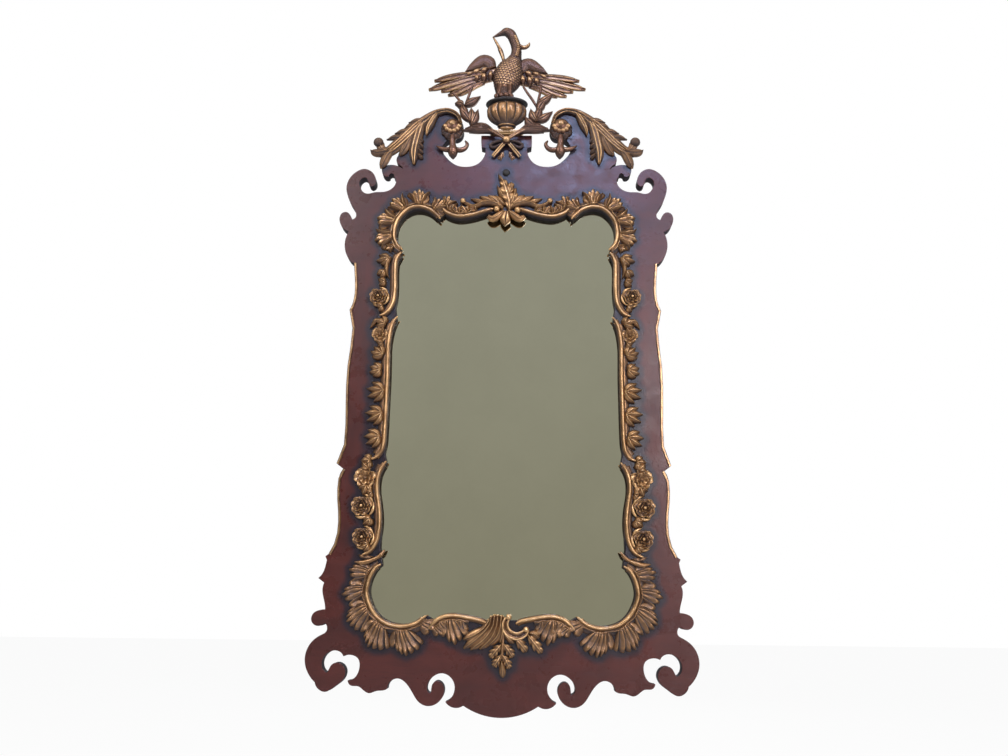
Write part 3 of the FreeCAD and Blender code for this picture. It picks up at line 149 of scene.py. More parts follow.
def walked_along(points):
    """Length walked along a line of points, up to each of them."""
    return np.concatenate([[0], np.cumsum(np.linalg.norm(np.diff(points, axis=0), axis=1))])


def units(vectors):
    """Vectors made one unit long."""
    return vectors / np.maximum(np.linalg.norm(vectors, axis=1, keepdims=True), TINY)


def smooth_path(places, count):
    """Evenly spaced points on the smooth curve through a few given places."""
    places = np.array([tuple(place) + (0.0,) * (3 - len(place)) for place in places], float)
    if len(places) == 2:
        dense = np.linspace(places[0], places[1], STRAIGHT_STEPS)
    else:
        padded = np.vstack([2 * places[0] - places[1], places, 2 * places[-1] - places[-2]])
        share = np.linspace(0, 1, SPAN_STEPS, endpoint=False)[:, None]
        pieces = []
        for a, b, c, d in zip(padded, padded[1:], padded[2:], padded[3:]):
            bend = (2 * a - 5 * b + 4 * c - d) * share ** 2 + (3 * b - a - 3 * c + d) * share ** 3
            pieces.append(0.5 * (2 * b + (c - a) * share + bend))
        dense = np.vstack(pieces + [places[-1:]])
    walked = walked_along(dense)
    wanted = np.linspace(0, walked[-1], count)
    return np.stack([np.interp(wanted, walked, dense[:, axis]) for axis in range(3)], 1)


def spread(shares, count):
    """A short list of shares spread evenly over more stations."""
    return np.interp(np.linspace(0, 1, count), np.linspace(0, 1, len(shares)), shares)


def headings(path):
    """Unit directions along a path and square to it, in the front plane."""
    along = units(np.gradient(path[:, :2], axis=0))
    return along, np.stack([-along[:, 1], along[:, 0]], 1)


def beside(path, shift, height):
    """A path moved sideways and set at a height."""
    moved = path.copy()
    moved[:, :2] += headings(path)[1] * np.reshape(shift, (-1, 1))
    moved[:, 2] = height
    return moved


def polar(place, reach, angle):
    """The place at a reach and an angle in degrees from another place."""
    turn = math.radians(angle)
    return place[0] + reach * math.cos(turn), place[1] + reach * math.sin(turn)


def raised(places, height):
    """Flat places with a height added."""
    return [tuple(place) + (height,) for place in places]


def mirrored(places, side):
    """Places as they are for side 1, and mirrored for side -1."""
    return [(side * place[0],) + tuple(place[1:]) for place in places]


def to_world(points):
    """Pattern squares to metres in the mirror's frame."""
    x, row, proud = np.moveaxis(np.asarray(points, float), -1, 0) * SQUARE
    return np.stack([x, BOARD_FRONT - proud, APRON_FOOT + row], -1)


def grid_faces(index):
    """Quads of a grid of point numbers."""
    corners = np.stack([index[:-1, :-1], index[:-1, 1:], index[1:, 1:], index[1:, :-1]], -1)
    return [tuple(quad) for quad in corners.reshape(-1, 4).tolist()]


def read(items, field, columns=3, kind=float):
    """A field of many mesh elements as rows of numbers."""
    values = np.empty(len(items) * columns, kind)
    items.foreach_get(field, values)
    return values.reshape(-1, columns)


# Carving

# Half widths of leaves from root to tip, as shares of the widest
LEAF_SHAPE = (0.30, 0.72, 0.95, 1.0, 0.88, 0.62, 0.32, 0.03)
BLADE_SHAPE = (0.35, 0.6, 0.8, 0.95, 1.0, 0.9, 0.6, 0.03)
FEATHER_SHAPE = (0.55, 0.75, 0.9, 1.0, 1.0, 0.95, 0.75, 0.15)
PETAL_SHAPE = (0.35, 0.7, 0.95, 1.0, 0.95, 0.7, 0.2)
FINGER_SHAPE = (0.55, 0.85, 1.0, 0.95, 0.75, 0.45, 0.04)
CUP_SHAPE = (0.40, 0.72, 0.92, 1.0, 1.0, 0.86, 0.45)
# Heights from root to tip, as shares of the relief
LEAF_RISE = (0.75, 0.95, 1.0, 1.0, 0.9, 0.75, 0.6)
CUP_RISE = (0.55, 0.6, 0.7, 0.85, 1.0, 1.1, 0.9)
SHELL_RISE = ((0, 0.2, 0.55, 0.85, 1), (0.7, 0.92, 0.8, 1.0, 0.55))
LEAF_ACROSS = 15
LEAST_THICK = 0.02
LEAST_RELIEF = 0.12
RIB_WIDE = 0.13
BALL_ROWS, BALL_ROUND = 9, 14
CRESCENT_STATIONS = 17
SHELL_NECK = 0.42
SHELL_STATIONS = 18
FLUTE_POINTS = 10
# Height between and on the ridges of a shell leaf
FLUTE_FLOOR, FLUTE_RIDGE = 0.74, 0.26
# Rings of cupped petals: their number, turn in degrees, and reach, half width and height in shares of the radius
ROSE_RINGS = ((5, 20, 1.02, 0.56, 0.42), (4, 62, 0.72, 0.42, 0.60), (3, 15, 0.42, 0.28, 0.78))
FLOWER_RINGS = ((7, 0, 1.10, 0.40, 0.42), (5, 30, 0.66, 0.32, 0.62))
# Petal edges of a rose on the rail's side: reach in shares of the radius, start and stop in degrees
ROSE_EDGES = ((1.22, 95, 165), (1.28, 160, 235), (1.22, 230, 300))
HIGHEST_ROSE = 1.5
# Shades of a rose's ground, petals and bud, and of a flower's petals and eye
ROSE_GROUND, ROSE_PETALS, ROSE_BUD, FLOWER_PETALS, FLOWER_EYE = 0.22, -0.06, -0.16, -0.24, 0.45
# How far petals stray from their even places: in degrees, and in shares of their reach
PETAL_STRAYS, PETAL_UNEVEN = 11, 0.09
# Leaflets of a hand: half width, how much shorter the outer ones are, and how far they bend outwards
FINGER_HALF, OUTER_SHORTER, FINGER_BEND = 0.68, 0.18, 1.25
# Points nearer to each other than this become one
CARVING_MERGE = 1e-6


class Carving:
    """Gathers the grids of one carved piece in pattern squares and makes them a mesh."""

    def __init__(self, shade=0.0):
        self.points = []
        self.faces = []
        self.count = 0
        self.shade = shade
        self.shades = []

    def add(self, points, faces):
        """Takes an array of points in squares, and faces that index them."""
        points = np.asarray(points, float).reshape(-1, 3)
        self.points.append(points)
        self.faces += [tuple(int(index) + self.count for index in face) for face in faces]
        self.count += len(points)
        self.shades += [self.shade] * len(points)

    def closed(self, top, under):
        """Closed relief between a grid of points and the same grid at other heights."""
        rows, columns = top.shape[:2]
        lower = top.copy()
        lower[..., 2] = under
        offset = rows * columns
        index = np.arange(offset).reshape(rows, columns)
        faces = grid_faces(index) + [face[::-1] for face in grid_faces(index + offset)]
        rim = np.concatenate([index[0, :], index[1:, -1], index[-1, -2::-1], index[-2:0:-1, 0]])
        faces += [(b, a, a + offset, b + offset) for a, b in zip(rim, np.roll(rim, -1))]
        self.add(np.concatenate([top.reshape(-1, 3), lower.reshape(-1, 3)]), faces)

    def slab(self, top):
        """Relief with a flat back on the boards' face."""
        self.closed(top, np.minimum(0.0, top[..., 2] - LEAST_THICK))

    def wrapped(self, rings):
        """Closed skin over rings of points, capped at both ends."""
        rings = np.asarray(rings)
        rows, columns = rings.shape[:2]
        index = np.arange(rows * columns).reshape(rows, columns)
        faces = grid_faces(np.concatenate([index, index[:, :1]], 1))
        faces += [tuple(index[0][::-1]), tuple(index[-1])]
        self.add(rings, faces)

    def tube(self, path, radii, corners, flat=1.0):
        """Closed round strand along a path, with its radius at each station."""
        along = units(np.gradient(path, axis=0))
        side = units(np.cross(along, np.array([0.0, 0.0, 1.0])))
        up = np.cross(side, along)
        angle = np.linspace(0, 2 * math.pi, corners, endpoint=False)[None, :, None]
        ring = side[:, None] * np.cos(angle) + flat * up[:, None] * np.sin(angle)
        self.wrapped(path[:, None] + np.reshape(radii, (-1, 1, 1)) * ring)

    def strand(self, places, radii, count, corners=10, thick=1.0, flat=1.0):
        """Round strand through a few places, with a few radii spread along it."""
        self.tube(smooth_path(places, count), thick * spread(radii, count), corners, flat)

    def ball(self, place, radius, flat=1.0):
        """Small round bud."""
        tilt = np.linspace(0, math.pi, BALL_ROWS)[:, None]
        angle = np.linspace(0, 2 * math.pi, BALL_ROUND, endpoint=False)[None]
        wide = radius * np.maximum(np.sin(tilt), LEAST_THICK)
        high = np.broadcast_to(radius * flat * np.cos(tilt), (BALL_ROWS, BALL_ROUND))
        self.wrapped(np.array(place, float) + np.stack([wide * np.cos(angle), wide * np.sin(angle), high], -1))

    def leaf(self, places, half, relief=0.7, lobes=0, depth=0.45, shape=LEAF_SHAPE, rise=LEAF_RISE,
             lean=0.45, crown=0.42, rib=-0.22, ripple=0.5, thick=None, tilt=0.0):
        """Carved leaf along the smooth line through its places, with forward lobes, flutes and a midrib."""
        count = max(20, 9 * lobes + 8)
        path = smooth_path(places, count)
        along, side = headings(path)
        across = np.linspace(-1, 1, LEAF_ACROSS)[None, :]
        outer = np.abs(across)
        width = np.maximum(half * spread(shape, count)[:, None], LEAST_THICK)
        reach = across * width
        forward = lean * width * outer ** 1.4
        height = relief * spread(rise, count)[:, None] * (1 - crown * outer ** 2.5)
        height = height - rib * relief * np.exp(-((across / RIB_WIDE) ** 2))
        if lobes:
            phase = (np.linspace(0, 1, count)[:, None] * lobes) % 1.0
            reach = reach * (1 - depth * (1 - phase ** 0.7) * outer ** 1.5)
            height = height + ripple * relief * outer ** 0.8 * (np.sin(math.pi * phase) ** 1.5 - 0.6)
        height = np.maximum(height + tilt * across * width, LEAST_RELIEF * relief)
        flat = path[:, None, :2] + side[:, None] * reach[..., None] + along[:, None] * forward[..., None]
        top = np.dstack([flat, path[:, 2:] + height])
        if thick is None:
            self.slab(top)
        else:
            self.closed(top, top[..., 2] - thick)

    def leaves(self, rows, **common):
        """Several leaves of one kind, each given as its places, half width and relief."""
        for places, half, relief in rows:
            self.leaf(places, half, relief, **common)

    def shell(self, ends, notch):
        """Shell-like leaf one square long and wide, with a shallow flute for each of its ends."""
        across = np.linspace(0, len(ends), len(ends) * FLUTE_POINTS + 1)[None, :]
        flute = np.minimum(across.astype(int), len(ends) - 1)
        ridge = np.sin(math.pi * (across - flute)) ** 0.6
        length = np.array(ends)[flute] * (1 - notch + notch * ridge)
        share = np.linspace(0, 1, SHELL_STATIONS)[:, None]
        sideways = across / len(ends) * 2 - 1
        wide = 0.5 * (SHELL_NECK + (1 - SHELL_NECK) * share ** 0.8)
        lift = np.interp(share, *SHELL_RISE) * (FLUTE_FLOOR + FLUTE_RIDGE * ridge)
        height = lift * (1 - 0.5 * np.abs(sideways) ** 3)
        sweep = 0.12 * share ** 2 + 0.035 * np.sin(2.1 * across) * np.sin(math.pi * share)
        wavy = (sideways + 0.06 * np.sin(1.3 * across)) * wide + sweep
        self.slab(np.stack([wavy, share * length, height], -1))

    def crescent(self, place, reach, start, stop, thick, rise):
        """Petal edge that runs round a flower."""
        angle = np.radians(np.linspace(start, stop, CRESCENT_STATIONS))
        ring = np.stack([np.cos(angle) * reach, np.sin(angle) * reach, np.full_like(angle, rise)], 1)
        radii = thick * spread((0.25, 0.8, 1.0, 0.8, 0.25), CRESCENT_STATIONS)
        self.tube(np.append(place, 0.0) + ring, radii, 8, 1.3)

    def petals(self, place, radius, rings):
        """Rings of cupped petals, each a little off its even place."""
        for count, turn, reach, half, high in rings:
            for index in range(count):
                angle = turn + 360 * index / count + PETAL_STRAYS * math.sin(5 * index + turn)
                tip = polar(place, radius * reach * (1 + PETAL_UNEVEN * math.sin(3 * index + turn)), angle)
                self.leaf((place, tip), radius * half, min(radius, HIGHEST_ROSE) * high, shape=CUP_SHAPE,
                          rise=CUP_RISE, lean=0.12, crown=-0.35, rib=0.0)

    def rose(self, place, radius):
        """Cupped rose: rings of petals on a dark ground round a bud, and petal edges on the rail's side."""
        self.shade = ROSE_GROUND
        self.ball(place + (0.1,), radius * 0.92, 0.4)
        self.shade = ROSE_PETALS
        self.petals(place, radius, ROSE_RINGS)
        self.shade = ROSE_BUD
        self.ball(place + (0.72 * min(radius, HIGHEST_ROSE),), radius * 0.2, 0.9)
        self.shade = 0.0
        for reach, start, stop in ROSE_EDGES:
            self.crescent(place, radius * reach, start, stop, radius * 0.2, 0.4)

    def flower(self, place, radius):
        """Open flower: two rings of petals round a dark eye."""
        self.shade = FLOWER_PETALS
        self.petals(place, radius, FLOWER_RINGS)
        self.shade = FLOWER_EYE
        self.ball(place + (0.62,), radius * 0.2, 0.8)
        self.shade = 0.0

    def fingers(self, root, heading, reach, count, opening):
        """Hand of smooth pointed leaflets that spread from one root."""
        for turn in np.linspace(opening / 2, -opening / 2, count):
            size = reach * (1 - OUTER_SHORTER * abs(turn) / (opening / 2))
            middle = polar(root, 0.5 * size, heading + FINGER_BEND * turn)
            self.leaf((root, middle, polar(root, size, heading + turn)), FINGER_HALF, 1.0,
                      shape=FINGER_SHAPE, crown=0.6, rib=-0.2, lean=0.2)

    def take(self, mesh):
        """Adds a mesh that is already in metres."""
        x, y, z = read(mesh.vertices, "co").T
        squares = np.stack([x, z - APRON_FOOT, BOARD_FRONT - y], 1) / SQUARE
        self.add(squares, [tuple(polygon.vertices) for polygon in mesh.polygons])

    def mesh(self, name, mirror=False):
        """The finished mesh in metres, its normals turned outwards."""
        points = to_world(np.concatenate(self.points))
        if mirror:
            points[:, 0] *= -1
        made = bpy.data.meshes.new(name)
        made.from_pydata(points.tolist(), [], self.faces)
        made.attributes.new("shade", "FLOAT", "POINT").data.foreach_set("value", self.shades)
        form = bmesh.new()
        form.from_mesh(made)
        bmesh.ops.remove_doubles(form, verts=form.verts, dist=CARVING_MERGE)
        bmesh.ops.recalc_face_normals(form, faces=form.faces)
        for face in form.faces:
            face.smooth = True
        form.to_mesh(made)
        form.free()
        return made


# Objects and attributes

# Cells that hold the carving's height, how far round a point it is searched, and the depth that counts as full
HOLLOW_CELL = 0.0015
HOLLOW_REACH = 0.0045
HOLLOW_DEPTH = 0.006
# What darkens a point: being there at all, depth and a bend inwards (dark wax and painted shade in the hollows), and
# facing up or down (painted light on upper faces, painted shade on under faces)
HOLLOW_BASE, BY_DEPTH, BY_BEND, PAINTED_LIGHT_UP, PAINTED_SHADE_DOWN = 0.18, 0.6, 1.7, -0.12, 0.30
DARKEST = 1.5


def add_object(name, mesh):
    """A mesh object at the origin."""
    piece = bpy.data.objects.new(name, mesh)
    bpy.context.scene.collection.objects.link(piece)
    return piece


def dress(name, mesh, look, node):
    """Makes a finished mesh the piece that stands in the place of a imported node."""
    piece = add_object(name, mesh)
    mesh.materials.append(finish(look))
    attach(piece, "mirror")
    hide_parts(node)
    return piece


def highest_round(field, steps):
    """The highest value within a number of steps of each cell."""
    padded = np.pad(field, steps, mode="edge")
    highest = field.copy()
    for right in range(2 * steps + 1):
        for up in range(2 * steps + 1):
            if math.hypot(right - steps, up - steps) <= steps:
                window = padded[right:right + field.shape[0], up:up + field.shape[1]]
                highest = np.maximum(highest, window)
    return highest


def mark_hollows_and_shade(mesh, least=0.0):
    """Stores how dark each point is, from 0 on the crests to 1 and over in the hollows: dark wax and painted shade
    in the hollows, painted shade on under faces, painted light on upper faces.
    """
    points = read(mesh.vertices, "co")
    normals = read(mesh.vertices, "normal")
    edges = read(mesh.edges, "vertices", 2, int)
    face_on = points[:, (0, 2)]
    column, row = ((face_on - face_on.min(0)) / HOLLOW_CELL).astype(int).T
    proud = -points[:, 1]
    field = np.full((column.max() + 1, row.max() + 1), proud.min())
    np.maximum.at(field, (column, row), proud)
    highest = highest_round(field, int(HOLLOW_REACH / HOLLOW_CELL))
    depth = np.clip((highest[column, row] - proud) / HOLLOW_DEPTH, 0, 1)
    total = np.zeros_like(points)
    span = np.zeros(len(points))
    for a, b in (edges.T, edges.T[::-1]):
        step = points[b] - points[a]
        np.add.at(total, a, step)
        np.add.at(span, a, np.linalg.norm(step, axis=1))
    bend = (total * normals).sum(1) / np.maximum(span, TINY)
    # Painted light and shade: faces that turn up are painted lighter, faces that turn down darker
    facing = PAINTED_LIGHT_UP * np.clip(normals[:, 2], 0, 1) + PAINTED_SHADE_DOWN * np.clip(-normals[:, 2], 0, 1)
    hollow_and_shade = np.maximum(HOLLOW_BASE + BY_DEPTH * depth + BY_BEND * bend + facing, least)
    shade = mesh.attributes.get("shade")
    if shade:
        hollow_and_shade = hollow_and_shade + read(shade.data, "value", 1, np.float32)[:, 0]
        mesh.attributes.remove(shade)
    layer = mesh.attributes.new("hollow_and_shade", "FLOAT", "POINT")
    layer.data.foreach_set("value", np.clip(hollow_and_shade, 0, DARKEST).astype(np.float32))


def carve(carving, name, look="gilding", mirror=False):
    """Turns a finished carving into the piece of that name."""
    mesh = carving.mesh(name, mirror)
    mark_hollows_and_shade(mesh)
    return dress(name, mesh, look, name)


def carve_pair(carving, name, look="gilding"):
    """A carving on the right and its mirror image on the left."""
    for side in SIDES:
        carve(carving, f"{side}_{name}", look, side == "left")


# Node helpers

def fill(tree, made, inputs):
    """Links or sets the inputs of a node."""
    for key, value in inputs.items():
        if isinstance(value, bpy.types.NodeSocket):
            tree.links.new(value, made.inputs[key])
        else:
            made.inputs[key].default_value = value


def node(tree, kind, inputs=None, **settings):
    """Adds a node, sets its properties, and links or sets its inputs."""
    made = tree.nodes.new(kind)
    for key, value in settings.items():
        setattr(made, key, value)
    fill(tree, made, inputs or {})
    return made


def math_node(tree, operation, *values):
    """Arithmetic on one to three values."""
    return node(tree, "ShaderNodeMath", dict(enumerate(values)), operation=operation).outputs[0]


def scaled(tree, value, factor, offset=0.0):
    """A value times a factor, plus an offset."""
    return math_node(tree, "MULTIPLY_ADD", value, factor, offset)


def vector_node(tree, operation, inputs):
    """Arithmetic on vectors."""
    return node(tree, "ShaderNodeVectorMath", inputs, operation=operation).outputs[0]


def mix_colours(tree, share, first, second):
    """Mixes two colours."""
    return node(tree, "ShaderNodeMix", {0: share, 6: first, 7: second}, data_type="RGBA").outputs[2]


def noise(tree, vector, scale, **inputs):
    """Cloudy pattern."""
    return node(tree, "ShaderNodeTexNoise", {"Vector": vector, "Scale": scale, **inputs}).outputs[0]


def map_range(tree, value, low, high):
    """A value taken from 0 at its low end to 1 at its high end."""
    return node(tree, "ShaderNodeMapRange", {"Value": value, "From Min": low, "From Max": high}).outputs[0]


def ramp(tree, value, *stops):
    """Value through a ramp of (place, grey) stops."""
    made = node(tree, "ShaderNodeValToRGB", {0: value})
    elements = made.color_ramp.elements
    while len(elements) < len(stops):
        elements.new(0.5)
    for element, (place, grey) in zip(elements, stops):
        element.position = place
        element.color = (grey, grey, grey, 1.0)
    return made.outputs[0]


def new_tree(name, kind, inputs, outputs):
    """An empty tree with named sockets, what it takes and what it gives."""
    tree = bpy.data.node_groups.new(name, kind)
    for label, socket_kind, default in inputs:
        socket = tree.interface.new_socket(label, in_out="INPUT", socket_type="NodeSocket" + socket_kind)
        if default is not None:
            socket.default_value = default
    for label, socket_kind in outputs:
        tree.interface.new_socket(label, in_out="OUTPUT", socket_type="NodeSocket" + socket_kind)
    return tree, tree.nodes.new("NodeGroupInput").outputs, tree.nodes.new("NodeGroupOutput")


# Materials

ALONG_UPRIGHT = (60.0, 60.0, 5.0)
ALONG_LEVEL = (5.0, 60.0, 60.0)
PINE_STRETCH = (90.0, 90.0, 4.0)
HARDBOARD_STRETCH = (160.0, 160.0, 120.0)
PORES_FINER = 9.0
# How much of figure, streaks and pores shows in the boards, and how much rougher and matter their edges are
FIGURE_SHOWS, STREAKS_SHOW, PORES_SHOW = 0.55, 0.3, 0.5
POLISH, POLISH_CLOUDS, EDGE_MATT, BOARD_SPECULAR = 0.24, 0.14, 0.5, 0.34
# Gilding's roughness and metal, and how they change where dirt and painted shade darken it
GILT_ROUGH, GILT_METAL, DIRT_AND_SHADE_ROUGH, DIRT_AND_SHADE_METAL = 0.30, 0.85, 0.3, -0.75
# Shares of clouds in the gold and how dark they are, and share of rubbed gold, which also carries painted light on
# upper faces
GILT_CLOUDS, GILT_CLOUD_TONE, GILT_RUBBED_AND_LIT = 0.35, 0.55, 0.6
# Near black where the darkness runs highest: painted shade in the deepest hollows and under the top leaf's curled
# tip, and the darkest parts such as the urn's lid; where it starts and is full
NEAR_BLACK = (0.012, 0.010, 0.011, 1.0)
NEAR_BLACK_STARTS, NEAR_BLACK_FULL = 0.9, 1.3
# Bumps in metres: pores of the boards, grit in the gilding, and grain of the bare wood
PORE_BUMP, GRIT_BUMP, GRAIN_BUMP = -0.00006, 0.00025, 0.0003
GRIT_SCALE = 420.0
# Sizes of the clouds in the wear and painted shade on boards, gilding and bare wood
BOARD_WEAR, GILT_WEAR, BARE_WEAR = 35.0, 70.0, 14.0
# Colours of the plain finishes, first and in their clouds or streaks
PINE = ((0.60, 0.42, 0.24, 1.0), (0.38, 0.23, 0.11, 1.0))
HARDBOARD = ((0.34, 0.22, 0.13, 1.0), (0.22, 0.14, 0.08, 1.0))
STEEL = ((0.56, 0.55, 0.52, 1.0), (0.36, 0.34, 0.31, 1.0))
FELT = ((0.018, 0.017, 0.016, 1.0), (0.06, 0.055, 0.05, 1.0))
GLASS_HAZE = 0.94


def grain_group():
    """Wood grain: slow figure, fine streaks and pores along one direction of Object coordinates."""
    tree, taken, given = new_tree(
        "wood_grain", "ShaderNodeTree",
        (("Vector", "Vector", None), ("Stretch", "Vector", ALONG_UPRIGHT), ("Figure Scale", "Float", 9.0)),
        (("Figure", "Float"), ("Streaks", "Float"), ("Pores", "Float")),
    )
    stretched = vector_node(tree, "MULTIPLY", {0: taken["Vector"], 1: taken["Stretch"]})
    fine = vector_node(tree, "SCALE", {0: stretched, "Scale": PORES_FINER})
    figure = noise(tree, taken["Vector"], taken["Figure Scale"], Detail=5.0, Distortion=1.2)
    streaks = noise(tree, stretched, 1.0, Detail=6.0, Roughness=0.6)
    pores = noise(tree, fine, 1.0, Detail=2.0)
    fill(tree, given, {
        "Figure": ramp(tree, figure, (0.3, 0.0), (0.7, 1.0)),
        "Streaks": ramp(tree, streaks, (0.35, 0.0), (0.65, 1.0)),
        "Pores": ramp(tree, pores, (0.58, 0.0), (0.72, 1.0)),
    })


def patina_and_shade_group():
    """Wear and painted light and shade on hand-finished surfaces: rubbed places and painted light where the darkness
    is low, cloudy patches, and dirt in hollows and painted shade where it is high.
    """
    tree, taken, given = new_tree(
        "patina_and_shade", "ShaderNodeTree",
        (("Vector", "Vector", None), ("Darkness", "Float", 0.0), ("Scale", "Float", 60.0)),
        (("Dirt And Shade", "Float"), ("Rubbed And Lit", "Float"), ("Cloud", "Float")),
    )
    cloud = noise(tree, taken["Vector"], taken["Scale"], Detail=6.0, Roughness=0.65)
    uneven = math_node(tree, "ADD", taken["Darkness"], scaled(tree, cloud, 0.5, -0.25))
    fill(tree, given, {
        "Dirt And Shade": ramp(tree, uneven, (0.30, 0.0), (0.75, 0.8), (1.0, 1.0)),
        "Rubbed And Lit": ramp(tree, uneven, (0.06, 1.0), (0.28, 0.0)),
        "Cloud": ramp(tree, cloud, (0.35, 0.0), (0.68, 1.0)),
    })


def new_material(name):
    """A material with an empty tree, its shader and its output."""
    material = bpy.data.materials.new(name)
    material.use_nodes = True
    tree = material.node_tree
    tree.nodes.clear()
    shader = tree.nodes.new("ShaderNodeBsdfPrincipled")
    node(tree, "ShaderNodeOutputMaterial", {"Surface": shader.outputs[0]})
    return material, tree, shader


def coordinates(tree, kind="Object"):
    """Texture coordinates: the piece's own, unless another kind is asked for."""
    return tree.nodes.new("ShaderNodeTexCoord").outputs[kind]


def effect(tree, name, inputs):
    """What a shared effect gives on this piece."""
    inputs = {"Vector": coordinates(tree), **inputs}
    return node(tree, "ShaderNodeGroup", inputs, node_tree=bpy.data.node_groups[name]).outputs


def attribute(tree, name):
    """A number stored on the mesh."""
    return node(tree, "ShaderNodeAttribute", attribute_name=name).outputs["Fac"]


def bump(tree, height, distance):
    """Normals raised by a height pattern."""
    return node(tree, "ShaderNodeBump", {"Height": height, "Distance": distance, "Strength": 1.0}).outputs[0]


def darker(colour, share):
    """A colour at a share of its brightness."""
    return tuple(channel * share for channel in colour[:3]) + (1.0,)


def mahogany_material(name, settings, stretch):
    """Polished mahogany with blue-black painted shadow beside the gilding and painted shade on its darker edges."""
    material, tree, shader = new_material(name)
    grain = effect(tree, "wood_grain", {"Stretch": stretch})
    dark = tuple(settings.mahogany_dark)
    streaked = scaled(tree, grain["Streaks"], STREAKS_SHOW, scaled(tree, grain["Figure"], FIGURE_SHOWS))
    colour = mix_colours(tree, streaked, tuple(settings.mahogany), dark)
    colour = mix_colours(tree, scaled(tree, grain["Pores"], PORES_SHOW), colour, dark)
    facing = node(tree, "ShaderNodeSeparateXYZ", {0: coordinates(tree, "Normal")}).outputs["Y"]
    # The boards' sideways faces are painted dark as shade, and the board beside the gilding as shadow
    edges = ramp(tree, math_node(tree, "ABSOLUTE", facing), (0.35, 0.9), (0.8, 0.0))
    shadowed = math_node(tree, "MAXIMUM", attribute(tree, "halo"), edges)
    wear_and_shade = effect(tree, "patina_and_shade", {"Darkness": shadowed, "Scale": BOARD_WEAR})
    fill(tree, shader, {
        "Base Color": mix_colours(tree, wear_and_shade["Dirt And Shade"], colour, tuple(settings.painted_shadow)),
        "Roughness": scaled(tree, edges, EDGE_MATT, scaled(tree, wear_and_shade["Cloud"], POLISH_CLOUDS, POLISH)),
        "Specular IOR Level": BOARD_SPECULAR,
        "Normal": bump(tree, grain["Pores"], PORE_BUMP),
    })
    return material


def gilding_material(name, gold, settings):
    """Water gilding over carved wood: rubbed crests, cloudy gold and dark wax in the hollows, with painted light on
    upper faces, painted shade in the hollows and on under faces, and near black painted shade where it is darkest.
    """
    material, tree, shader = new_material(name)
    hollow_and_shade = attribute(tree, "hollow_and_shade")
    wear_and_shade = effect(tree, "patina_and_shade", {"Darkness": hollow_and_shade, "Scale": GILT_WEAR})
    clouds = scaled(tree, wear_and_shade["Cloud"], GILT_CLOUDS)
    colour = mix_colours(tree, clouds, tuple(gold), darker(gold, GILT_CLOUD_TONE))
    colour = mix_colours(tree, scaled(tree, wear_and_shade["Rubbed And Lit"], GILT_RUBBED_AND_LIT), colour, tuple(settings.gold_bright))
    colour = mix_colours(tree, wear_and_shade["Dirt And Shade"], colour, tuple(settings.gold_recess))
    grit = noise(tree, coordinates(tree), GRIT_SCALE, Detail=4.0)
    fill(tree, shader, {
        # Near black painted shade where the darkness runs highest
        "Base Color": mix_colours(tree, map_range(tree, hollow_and_shade, NEAR_BLACK_STARTS, NEAR_BLACK_FULL), colour, NEAR_BLACK),
        "Metallic": scaled(tree, wear_and_shade["Dirt And Shade"], DIRT_AND_SHADE_METAL, GILT_METAL),
        "Roughness": scaled(tree, wear_and_shade["Dirt And Shade"], DIRT_AND_SHADE_ROUGH, GILT_ROUGH),
        "Normal": bump(tree, grit, GRIT_BUMP),
    })
    return material


def bare_wood_material(name, pale, dark, stretch):
    """Unfinished wood on the back."""
    material, tree, shader = new_material(name)
    grain = effect(tree, "wood_grain", {"Stretch": stretch, "Figure Scale": 5.0})
    wear_and_shade = effect(tree, "patina_and_shade", {"Scale": BARE_WEAR})
    colour = mix_colours(tree, scaled(tree, grain["Streaks"], 0.6), pale, dark)
    fill(tree, shader, {
        "Base Color": mix_colours(tree, scaled(tree, wear_and_shade["Cloud"], 0.35), colour, dark),
        "Roughness": scaled(tree, grain["Streaks"], 0.15, 0.6),
        "Normal": bump(tree, grain["Streaks"], GRAIN_BUMP),
    })
    return material


def cloudy_material(name, first, second, scale, rough, rougher=0.0, grit=0.0, **plain):
    """A material whose colour drifts in soft clouds, and its roughness and surface too where asked."""
    material, tree, shader = new_material(name)
    cloud = effect(tree, "patina_and_shade", {"Scale": scale})["Cloud"]
    fill(tree, shader, {
        "Base Color": mix_colours(tree, cloud, first, second),
        "Roughness": scaled(tree, cloud, rougher, rough) if rougher else rough,
    })
    if grit:
        fill(tree, shader, {"Normal": bump(tree, cloud, grit)})
    for label, value in plain.items():
        shader.inputs[label.replace("_", " ").title()].default_value = value
    return material


def make_materials(settings):
    """All finishes by name."""
    grain_group()
    patina_and_shade_group()
    glass = tuple(settings.glass)
    return {
        "mahogany_upright": mahogany_material("mahogany_upright", settings, ALONG_UPRIGHT),
        "mahogany_across": mahogany_material("mahogany_across", settings, ALONG_LEVEL),
        "gilding": gilding_material("gilding", settings.gold, settings),
        "bronze_gilding": gilding_material("bronze_gilding", settings.bronze, settings),
        "pine": bare_wood_material("pine", *PINE, PINE_STRETCH),
        "hardboard": bare_wood_material("hardboard", *HARDBOARD, HARDBOARD_STRETCH),
        "glass": cloudy_material(
            "silvered_glass", glass, darker(glass, GLASS_HAZE), scale=6.0, rough=0.012, rougher=0.012, metallic=1.0),
        "steel": cloudy_material(
            "plated_steel", *STEEL, scale=240.0, rough=0.28, rougher=0.2, grit=0.00005, metallic=1.0),
        "felt": cloudy_material("felt", *FELT, scale=900.0, rough=0.95, grit=0.0006, sheen_weight=0.4),
    }


FINISHES = {}


def finish(name):
    """A finish by name, made with the others on first use."""
    if not FINISHES:
        FINISHES.update(make_materials(bpy.context.scene.carved_mirror))
    return FINISHES[name]


# Geometry node trees

BEAD_CORNERS = 16


